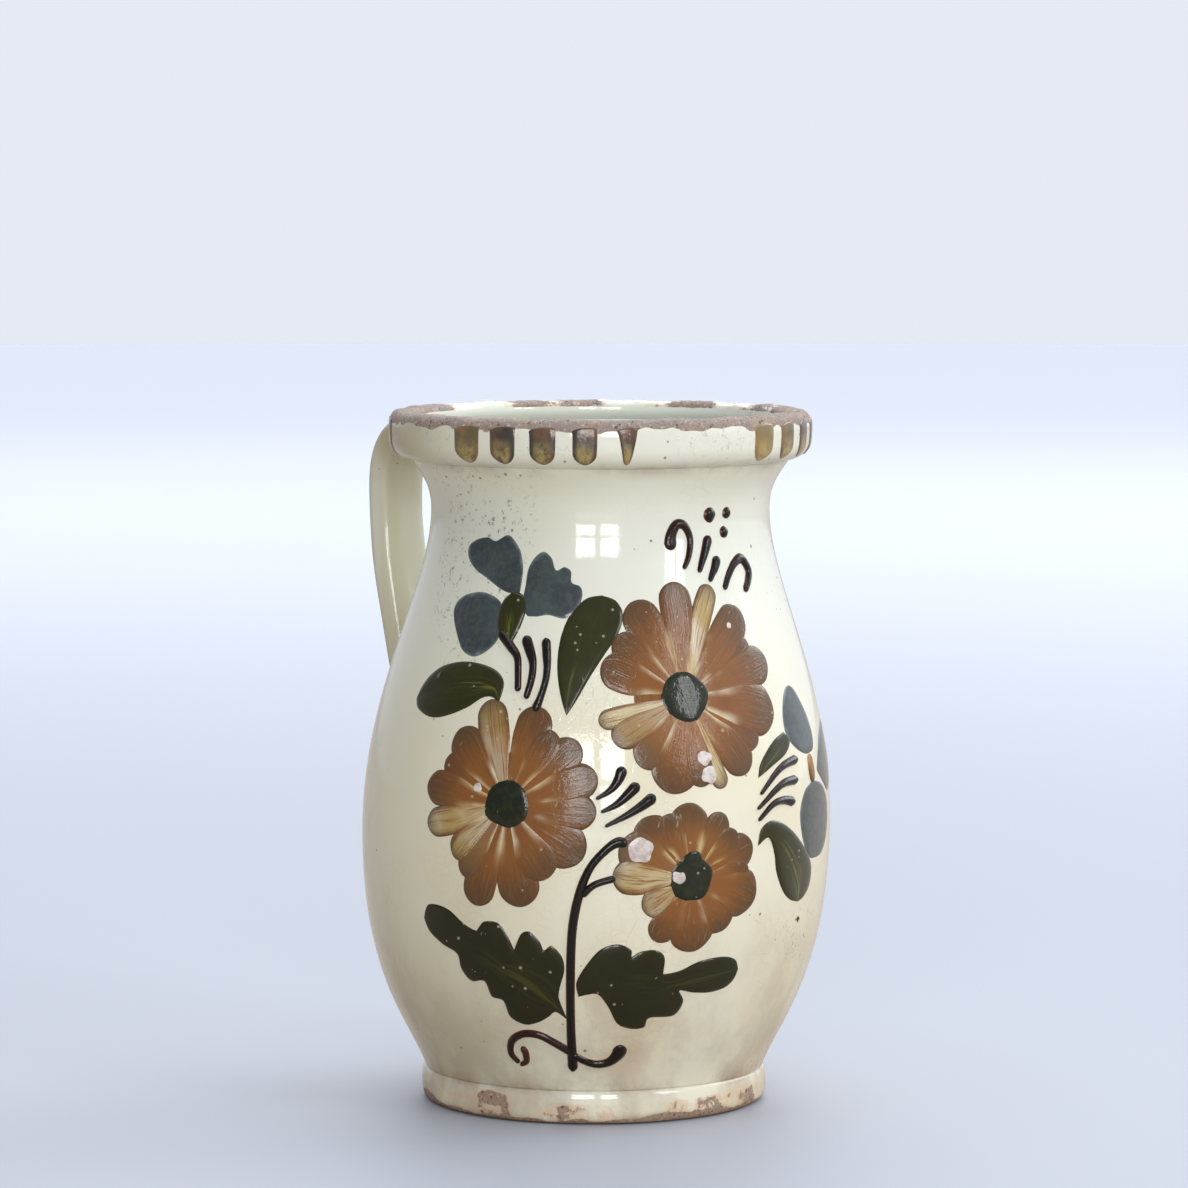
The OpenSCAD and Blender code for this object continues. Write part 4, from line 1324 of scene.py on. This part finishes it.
BLUET_RIGHT = [
    ([(64.5, 108), (59.5, 110), (55.5, 114), (54.8, 119), (56.5, 124.5), (59, 128), (61.5, 129)],
     [(64.5, 108), (70, 108.8), (71.5, 113), (70, 119), (67, 124.5), (64.2, 128), (61.5, 129)],
     [(64.5, 108), (64.5, 112), (63.5, 116), (62.5, 120), (62, 125), (61.5, 129)]),
    ([(70.5, 102.5), (72.5, 107), (76, 112), (81, 115.5), (86, 116.6), (89.3, 114)],
     [(70.5, 102.5), (75, 98), (80, 94.5), (86, 97), (90.5, 102.5), (91.8, 109), (89.3, 114)],
     [(70.5, 102.5), (75, 104), (80, 105.5), (85, 108.5), (89.3, 114)]),
    ([(67, 100), (61.5, 98), (58, 92), (58.5, 85.5), (60.7, 80), (63.6, 77), (67, 76.5)],
     [(67, 100), (73.5, 98.5), (78.5, 94), (79.5, 87), (77, 80.5), (72.5, 77), (67, 76.5)],
     [(67, 100), (67, 95), (67.5, 90), (67.5, 85), (67, 80), (67, 76.5)]),
]
BLUET_RIGHT_EYE = [(66, 108), (66.5, 103.5), (66.5, 99.5)]


class JUG_OT_brush_bluets(bpy.types.Operator):
    """Brush the blue-grey flowers, with a green bud under one and an ochre eye on the other"""

    bl_idname = "jug.brush_bluets"
    bl_label = "Brush the bluets"

    def execute(self, context):
        form, paint = context.scene.jug_form, context.scene.jug_paint
        skin = wall_skin(form)
        glazes = Glazes.of(context)
        thin = paint.paint_height * 0.55
        for name, petals in (("bluet_left", BLUET_LEFT), ("bluet_right", BLUET_RIGHT)):
            patches = [leaf(skin, *edges, thin, paint.key, dome=14, rows=64, seed=float(k))
                       for k, edges in enumerate(petals)]
            if name == "bluet_right":
                patches.append(dab(skin, (59.5, 126.5), 1.3, 0.12, paint.key, lumps=0.15, tone=0.4))
            make_piece(context, name + "_brushed", patches, glazes.slate, [name + "_petals"])
        bud = leaf(skin, [(-27.4, 158.5), (-30.5, 156), (-31.6, 151.5), (-30.8, 147.5), (-28.5, 144.5),
                          (-26.4, 142)],
                   [(-27.4, 158.5), (-23.8, 158), (-22, 154.5), (-22.6, 150.5), (-24, 146.5), (-26.4, 142)],
                   [(-27.4, 158.5), (-27.2, 155), (-27, 151), (-26.8, 148), (-26.6, 145), (-26.4, 142)],
                   paint.paint_height + 0.3, paint.key, dome=5, rows=40, seed=4.0)
        make_piece(context, "bluet_left_bud_brushed", [bud], glazes.olive, ["bluet_left_bud"])
        eye = stroke(skin, BLUET_RIGHT_EYE, [1.4, 2.2, 1.4], paint.paint_height + 0.3, paint.key, dome=4,
                     tone=0.8, seed=3.0)
        make_piece(context, "bluet_right_eye_brushed", [eye], glazes.ochre, ["bluet_right_eye"])
        return {"FINISHED"}


# Leaves as left edge, right edge and middle line, from the stalk end or base to the tip.
LEAVES = {
    "leaf_bean_left": (
        [(-56, 125.5), (-55.2, 129), (-52.5, 133), (-47.5, 136.3), (-40, 138), (-33, 137.5), (-28, 135.5),
         (-25.8, 132), (-26.7, 126.5)],
        [(-56, 125.5), (-54.8, 122.8), (-50.5, 120.8), (-46, 120.5), (-41, 122), (-36, 124.5), (-32, 127.5),
         (-29, 128), (-26.7, 126.5)],
        [(-56, 125.5), (-50, 128), (-45, 129.5), (-40, 130.5), (-34.5, 131), (-30.5, 131), (-28, 130),
         (-26.7, 126.5)]),
    "leaf_teardrop": (
        [(0.5, 158), (5, 156.5), (7.2, 152.5), (5.5, 146.5), (2, 141.5), (-2, 135), (-5.6, 128),
         (-8.2, 123.5)],
        [(0.5, 158), (-4.5, 157), (-9, 152.5), (-11.2, 146.5), (-11.8, 140), (-11.2, 134), (-9.8, 128),
         (-8.2, 123.5)],
        [(0.5, 158), (0, 155.5), (-1.5, 151), (-3.5, 145.5), (-5, 140), (-6.8, 134), (-7.8, 128.5),
         (-8.2, 123.5)]),
    "leaf_sliver_right": (
        [(54.5, 115.8), (50, 114), (46, 110.5), (43.5, 107), (42.7, 103.5)],
        [(54.5, 115.8), (57, 113), (54.5, 109.5), (48.5, 106.5), (42.7, 103.5)],
        [(54.5, 115.8), (53.5, 113), (50, 110), (46, 107), (42.7, 103.5)]),
    "leaf_bean_right": (
        [(41.8, 83.5), (45.5, 85.5), (47.5, 80.5), (48.5, 74.5), (51.5, 68.5), (55, 65.5), (59, 64.5)],
        [(41.8, 83.5), (42.8, 88.5), (47, 90.8), (53, 88.2), (60, 82), (65.5, 75), (65.5, 69), (62.5, 65.5),
         (59, 64.5)],
        [(41.8, 83.5), (44.5, 86.5), (49, 84.5), (53, 80), (56, 75), (58, 70), (59, 64.5)]),
    "leaf_toothed_left": (
        [(-46.5, 61.5), (-44.5, 66), (-38.5, 65.5), (-33, 61), (-29.2, 59.5), (-28, 62.5), (-24, 62.5),
         (-21.5, 58.5), (-19.3, 53), (-18.5, 59), (-16, 60.5), (-13.5, 57.5), (-12.5, 55), (-10.5, 56.5),
         (-8, 53), (-7.6, 48.5), (-9.2, 43), (-9.2, 39.5), (-7.2, 33)],
        [(-46.5, 61.5), (-45, 57.5), (-41, 54), (-36.5, 51.5), (-36, 47), (-33.5, 43.5), (-29.5, 43.8),
         (-28, 39.2), (-24.8, 38), (-23.5, 33), (-19.5, 30.8), (-15.5, 31.8), (-12.5, 33.8), (-10.5, 35.8),
         (-7.2, 33)],
        [(-46.5, 61.5), (-41.5, 59.5), (-35.5, 55.5), (-29.5, 52), (-24.5, 49), (-20, 46.5), (-16, 44),
         (-12.5, 40.5), (-9.5, 36.8), (-7.2, 33)]),
    "leaf_toothed_right": (
        [(-4.2, 40.5), (-4.8, 45), (-2.3, 50.5), (1.3, 55.5), (5.5, 57), (8.8, 55.2), (8.8, 53),
         (11.2, 54.6), (15.2, 54.8), (17.4, 52), (15.8, 47.6), (21, 47.8), (27, 50.6), (33.5, 51.4),
         (37.6, 50), (39, 46.8)],
        [(-4.2, 40.5), (-1.5, 41.2), (1, 41), (3.6, 37), (6.2, 31.6), (10, 29.8), (13.8, 30.2), (15, 33.2),
         (21.8, 33.6), (24, 38), (22.4, 41.6), (26.5, 40.6), (31.4, 40.2), (36, 41.2), (38.4, 43.6),
         (39, 46.8)],
        [(-4.2, 40.5), (-1, 44), (3, 45.5), (7, 45), (11, 44), (15, 43.5), (19, 43.8), (24, 45),
         (31, 46), (39, 46.8)]),
}


class JUG_OT_brush_leaves(bpy.types.Operator):
    """Brush the six dark leaves"""

    bl_idname = "jug.brush_leaves"
    bl_label = "Brush the leaves"

    def execute(self, context):
        form, paint = context.scene.jug_form, context.scene.jug_paint
        skin = wall_skin(form)
        glazes = Glazes.of(context)
        for number, (name, edges) in enumerate(LEAVES.items()):
            toothed = "toothed" in name
            rows = 150 if toothed else 64
            patch = leaf(skin, *edges, paint.paint_height + 0.1, paint.key, dome=16 if toothed else 10,
                         rows=rows, across=17, tone=0.35 if toothed else 1.0, seed=float(number))
            patches = [patch]
            if name == "leaf_bean_right":
                patches.append(dab(skin, (60.5, 59), 1.2, 0.12, paint.key, lumps=0.2, tone=0.3))
            make_piece(context, name + "_brushed", patches, glazes.olive, [name])
        return {"FINISHED"}


# ---------------------------------------------------------------------------------------------------------
# Trailed lines and rim strokes
# ---------------------------------------------------------------------------------------------------------

# Each trailed line: its places, its half widths as shares of the trail's half width, and its strength.
TRAILS = {
    "trailed_stem": [
        ([(-6.6, 16.5), (-6.5, 29), (-6.2, 45), (-5.6, 61), (-3.9, 72), (-1.5, 79.5), (2, 84.6), (5, 87),
          (7, 86)], [1.15, 1, 1, 1, 1, 0.9, 0.95, 1.15, 1.25], 1),
        ([(-3.6, 71), (-0.4, 74.5), (4.5, 76.4)], [0.9, 0.8, 0.85], 1)],
    "trailed_scroll": [
        ([(-6.6, 22.4), (-11.6, 25.7), (-16, 28), (-20.5, 28), (-24.4, 25.4), (-25.5, 21.5), (-23.4, 18.6)],
         [1, 0.95, 0.95, 0.9, 0.85, 0.75, 0.5], 0.92),
        ([(-21.4, 24), (-20.8, 21.6), (-21.2, 19), (-23.2, 18)], [0.9, 0.85, 0.7, 0.5], 0.75),
        ([(-6.4, 22), (-2.8, 19.8), (1, 18.8), (4.6, 19.6), (7, 22), (8, 25)],
         [0.9, 0.85, 0.95, 1.1, 1.5, 2.0], 1)],
    "trailed_tendrils_left": [
        ([(-29.6, 147), (-25.9, 143.2), (-23.2, 140), (-22.3, 135.6), (-21.7, 130)],
         [1.2, 1.05, 0.9, 0.85, 0.8], 1),
        ([(-21.5, 146), (-19.4, 141.4), (-18.3, 138), (-18.3, 133.5), (-19.3, 128)],
         [1.25, 1.1, 0.9, 0.85, 0.75], 1),
        ([(-15.3, 145.6), (-14.6, 140.7), (-14.2, 137), (-14.4, 133), (-15.4, 128.4), (-16.6, 124.6)],
         [1.05, 1, 0.85, 0.8, 0.85, 1.2], 1)],
    "trailed_commas_mid": [
        ([(6, 109), (5, 105.4), (3, 102.2), (-0.4, 99.6)], [1.35, 1.1, 0.75, 0.4], 1),
        ([(9.8, 104), (6.8, 100.4), (4.2, 97.8), (0.8, 95.8)], [1.35, 1.05, 0.75, 0.4], 1),
        ([(13.8, 100.4), (10.4, 97.4), (6.6, 94.6), (1.8, 91.6)], [1.4, 1.05, 0.75, 0.4], 1)],
    "trailed_commas_right": [
        ([(59, 107.4), (53, 106.2), (48.4, 103.6), (43, 98.6)], [1.15, 0.95, 0.75, 0.4], 1),
        ([(58, 101.4), (52.4, 101), (47.8, 98.8), (41.8, 94.4)], [1.15, 0.95, 0.75, 0.4], 1),
        ([(56, 95), (51.4, 96), (47, 95), (42, 91)], [1.25, 0.95, 0.75, 0.45], 1)],
    "trailed_crest_commas": [
        ([(23.6, 170.6), (23.8, 174.6), (26, 178), (29, 177.6), (30.9, 173.8), (29.9, 168.8), (27.5, 165)],
         [1.7, 1.35, 1.15, 1, 0.85, 0.75, 0.55], 0.95),
        ([(38.6, 174.4), (36.4, 169.8), (34.6, 166.6), (33, 163.8)], [1.4, 1.1, 0.85, 0.6], 1),
        ([(41.4, 168.2), (39.6, 165), (38.2, 163.2), (36.6, 161)], [1.4, 1.1, 0.85, 0.6], 1),
        ([(42, 158.4), (44.6, 162), (48.4, 165.6), (52.6, 167), (55.2, 163.4), (53.6, 160), (51, 157.4)],
         [0.7, 0.85, 1, 1.15, 1.15, 1, 0.85], 1)],
}
CREST_DOTS = [(39.2, 180.5, 2.5), (47, 180.8, 1.95), (45.5, 175.2, 1.95)]


class JUG_OT_trail_lines(bpy.types.Operator):
    """Trail the dark lines, commas and dots in liquid slip"""

    bl_idname = "jug.trail_lines"
    bl_label = "Trail the lines"

    def execute(self, context):
        form, paint = context.scene.jug_form, context.scene.jug_paint
        skin = wall_skin(form)
        glazes = Glazes.of(context)
        for name, lines in TRAILS.items():
            patches = []
            for number, (places, shares, tone) in enumerate(lines):
                halves = np.array(shares) * paint.trail_width
                patches.append(stroke(skin, places, halves, paint.trail_height, paint.key, dome=2.4,
                                      rows=18 * len(places), tone=tone, seed=float(number)))
            make_piece(context, name + "_slip", patches, glazes.umber, [name])
        dots = [dab(skin, (a, z), r, paint.trail_height, paint.key, lumps=0.03, seed=k, dome=2.6)
                for k, (a, z, r) in enumerate(CREST_DOTS)]
        make_piece(context, "trailed_crest_dots_slip", dots, glazes.umber, ["trailed_crest_dots"])
        return {"FINISHED"}


STROKE_PITCH = 11.3
STROKES_IN_GROUP = 5
GROUP_MIDDLES = (-15.5, 72, 165, 255)
PALE_STROKES = {0: 0.82, 5: 0.65, 6: 0.85}
NARROW_STROKE = 4


class JUG_OT_stroke_rim(bpy.types.Operator):
    """Hang short brown strokes over the rim band, four groups of five"""

    bl_idname = "jug.stroke_rim"
    bl_label = "Stroke the rim"

    def execute(self, context):
        form, paint = context.scene.jug_form, context.scene.jug_paint
        skin = band_skin(form)
        glazes = Glazes.of(context)
        rng = np.random.default_rng(31)
        top, low = form.jug_height - 2.4, form.jug_height - form.rim_height + 1.6
        patches = []
        for number in range(len(GROUP_MIDDLES) * STROKES_IN_GROUP):
            group, place = divmod(number, STROKES_IN_GROUP)
            a = GROUP_MIDDLES[group] + (place - (STROKES_IN_GROUP - 1) / 2) * STROKE_PITCH
            half = (5 - 0.3 * place) * rng.uniform(0.97, 1.03)
            halves = [half, half, half * 0.97, half * 0.84]
            ends = (0.2, 0.95)
            if number == NARROW_STROKE:
                halves = [half * 0.92, half * 0.74, half * 0.45, half * 0.22]
            patches.append(stroke(skin, [(a, top), (a + 0.2, top - 3), (a + 0.1, low + 3), (a, low)], halves,
                                  0.3, paint.key, dome=6, rows=26, tone=PALE_STROKES.get(number, 1.0),
                                  seed=float(number), ends=ends))
        make_piece(context, "rim_strokes_brushed", patches, glazes.rim, ["rim_strokes"])
        return {"FINISHED"}


# ---------------------------------------------------------------------------------------------------------
# Stage
# ---------------------------------------------------------------------------------------------------------


class JUG_OT_set_stage(bpy.types.Operator):
    """Set the camera, the pale floor, the room light and the windows"""

    bl_idname = "jug.set_stage"
    bl_label = "Set the stage"

    def execute(self, context):
        stage = context.scene.jug_stage
        self.camera(context, stage)
        self.floor(context, stage)
        self.room(context, stage)
        # Angles from the camera's side: right and up; then width and height in degrees.
        for number, (right, up, wide, tall, share) in enumerate((
                (-8.5, 4.5, 12.5, 7, 1.3), (7.5, 4.5, 11.5, 7, 1.2), (-8.5, 13.5, 12.5, 8.5, 1.4),
                (7.5, 13.5, 11.5, 8.5, 1.5), (48.5, 20, 6, 22, 1.1), (56, 20, 5, 22, 1.0),
                (118, 30, 34, 30, 0.42), (180, 40, 40, 30, 0.25))):
            self.pane(context, stage, number, right, up, wide, tall, share)
        context.scene.view_settings.view_transform = "Standard"
        return {"FINISHED"}

    def toward(self, stage, right, up):
        """Unit direction from the jug: the camera's side turned right and raised by angles in degrees."""
        turn = math.radians(stage.azimuth - 90 + right)
        rise = math.radians(up)
        return Vector((math.cos(turn) * math.cos(rise), math.sin(turn) * math.cos(rise), math.sin(rise)))

    def camera(self, context, stage):
        data = bpy.data.cameras.new("camera")
        data.lens = stage.lens
        data.sensor_width = 36
        camera = bpy.data.objects.new("camera", data)
        context.scene.collection.objects.link(camera)
        side = self.toward(stage, 0, 0)
        camera.location = side * stage.distance + Vector((0, 0, stage.height))
        down = math.tan(math.radians(stage.pitch))
        look = Vector((-side.x, -side.y, -down))
        camera.rotation_mode = "QUATERNION"
        camera.rotation_quaternion = look.to_track_quat("-Z", "Y")
        context.scene.camera = camera

    def floor(self, context, stage):
        """A wide round floor as rings of radius growing as the square of the step."""
        turn = np.linspace(0, 2 * np.pi, 96, endpoint=False)
        r = 6 * np.linspace(0.004, 1, 24)[:, None] ** 2
        places = np.stack([r * np.cos(turn), r * np.sin(turn), 0 * r * turn - 0.0002], axis=-1)
        index = np.arange(24 * 96).reshape(24, 96)
        here, ahead = index[:-1], index[1:]
        quads = np.stack([here, ahead, np.roll(ahead, -1, axis=1), np.roll(here, -1, axis=1)], axis=-1)
        mesh = bpy.data.meshes.new("floor")
        mesh.from_pydata(places.reshape(-1, 3), [], quads.reshape(-1, 4).tolist() + [index[0].tolist()])
        material = bpy.data.materials.new("Plain floor")
        material.use_nodes = True
        wires = Wiring(material.node_tree)
        shader = material.node_tree.nodes["Principled BSDF"]
        away = wires.add("VectorMath", {"operation": "LENGTH"})
        wires.feed(away.inputs[0], wires.object_place())
        cloud = wires.times(wires.noise(wires.object_place(), 5, 3), 0.06)
        far = wires.step(wires.plus(away.outputs["Value"], cloud), 0.3, 3.5)
        shade = wires.mix(far, stage.floor, stage.floor_far)
        seen = wires.add("LightPath").outputs["Is Camera Ray"]
        shade = wires.mix(seen, stage.bounce, shade)
        wires.feed(shader.inputs["Base Color"], shade)
        wires.feed(shader.inputs["Roughness"], 0.5)
        mesh.materials.append(material)
        floor = bpy.data.objects.new("floor", mesh)
        context.scene.collection.objects.link(floor)

    def room(self, context, stage):
        """A pale wall behind the jug, a darker room before it and a ceiling; plain and pale to the eye."""
        world = bpy.data.worlds.new("room")
        world.use_nodes = True
        world.node_tree.nodes.clear()
        wires = Wiring(world.node_tree)
        way = wires.add("TexCoord").outputs["Generated"]
        side = wires.add("VectorMath", {"operation": "DOT_PRODUCT"})
        wires.feed(side.inputs[0], way)
        wires.feed(side.inputs[1], self.toward(stage, 150, 0))
        behind = wires.step(side.outputs["Value"], -0.35, 0.45)
        level = wires.plus(stage.gloom, wires.times(behind, stage.room - stage.gloom))
        above = wires.step(wires.split(way)[2], 0.78, 0.9)
        across = wires.add("VectorMath", {"operation": "DOT_PRODUCT"})
        wires.feed(across.inputs[0], way)
        wires.feed(across.inputs[1], self.toward(stage, 90, 0))
        level = wires.times(level, wires.math("MULTIPLY_ADD", across.outputs["Value"], 0.28, 1.0))
        bright = wires.plus(level, wires.times(above, wires.math("SUBTRACT", stage.ceiling, level)))
        seen = wires.add("LightPath").outputs["Is Camera Ray"]
        bright = wires.plus(bright, wires.times(seen, wires.math("SUBTRACT", stage.backdrop, bright)))
        light = wires.add("Background", None, Color=stage.sky, Strength=bright)
        output = wires.add("OutputWorld")
        wires.feed(output.inputs["Surface"], light.outputs[0])
        context.scene.world = world

    def pane(self, context, stage, number, right, up, wide, tall, share):
        """One window pane 3 m away, as an area light of the given angles facing the jug's middle."""
        far = 3.0
        data = bpy.data.lights.new(f"pane_{number}", "AREA")
        data.shape = "RECTANGLE"
        data.size = 2 * far * math.tan(math.radians(wide / 2))
        data.size_y = 2 * far * math.tan(math.radians(tall / 2))
        data.energy = math.pi * data.size * data.size_y * stage.window * share
        data.color = (0.96, 0.98, 1.0)
        lamp = bpy.data.objects.new(data.name, data)
        context.scene.collection.objects.link(lamp)
        away = self.toward(stage, right, up)
        lamp.location = away * far + Vector((0, 0, 0.15))
        lamp.rotation_mode = "QUATERNION"
        lamp.rotation_quaternion = (-away).to_track_quat("-Z", "Y")


# ---------------------------------------------------------------------------------------------------------
# Panel, registration and the run
# ---------------------------------------------------------------------------------------------------------

OPERATORS = (
    JUG_OT_throw_wall, JUG_OT_cut_floor, JUG_OT_turn_foot, JUG_OT_fold_rim, JUG_OT_pull_handle,
    JUG_OT_lute_handle, JUG_OT_brush_rosettes, JUG_OT_brush_bluets, JUG_OT_brush_leaves,
    JUG_OT_trail_lines, JUG_OT_stroke_rim, JUG_OT_set_stage,
)


class JUG_PT_bench(bpy.types.Panel):
    """The maker's bench: sizes, colours and one button for each step"""

    bl_label = "Jug"
    bl_idname = "JUG_PT_bench"
    bl_space_type = "VIEW_3D"
    bl_region_type = "UI"
    bl_category = "Jug"

    def draw(self, context):
        layout = self.layout
        for settings in (context.scene.jug_form, context.scene.jug_paint, context.scene.jug_stage):
            box = layout.box()
            for key in settings.__annotations__:
                box.prop(settings, key)
        for operator in OPERATORS:
            layout.operator(operator.bl_idname)


CLASSES = (JugForm, JugPaint, JugStage, *OPERATORS, JUG_PT_bench)


def register():
    for cls in CLASSES:
        bpy.utils.register_class(cls)
    bpy.types.Scene.jug_form = PointerProperty(type=JugForm)
    bpy.types.Scene.jug_paint = PointerProperty(type=JugPaint)
    bpy.types.Scene.jug_stage = PointerProperty(type=JugStage)


def unregister():
    del bpy.types.Scene.jug_stage
    del bpy.types.Scene.jug_paint
    del bpy.types.Scene.jug_form
    for cls in reversed(CLASSES):
        bpy.utils.unregister_class(cls)


def main():
    register()
    for operator in OPERATORS:
        group, name = operator.bl_idname.split(".")
        getattr(getattr(bpy.ops, group), name)()


if __name__ == "__main__":
    main()
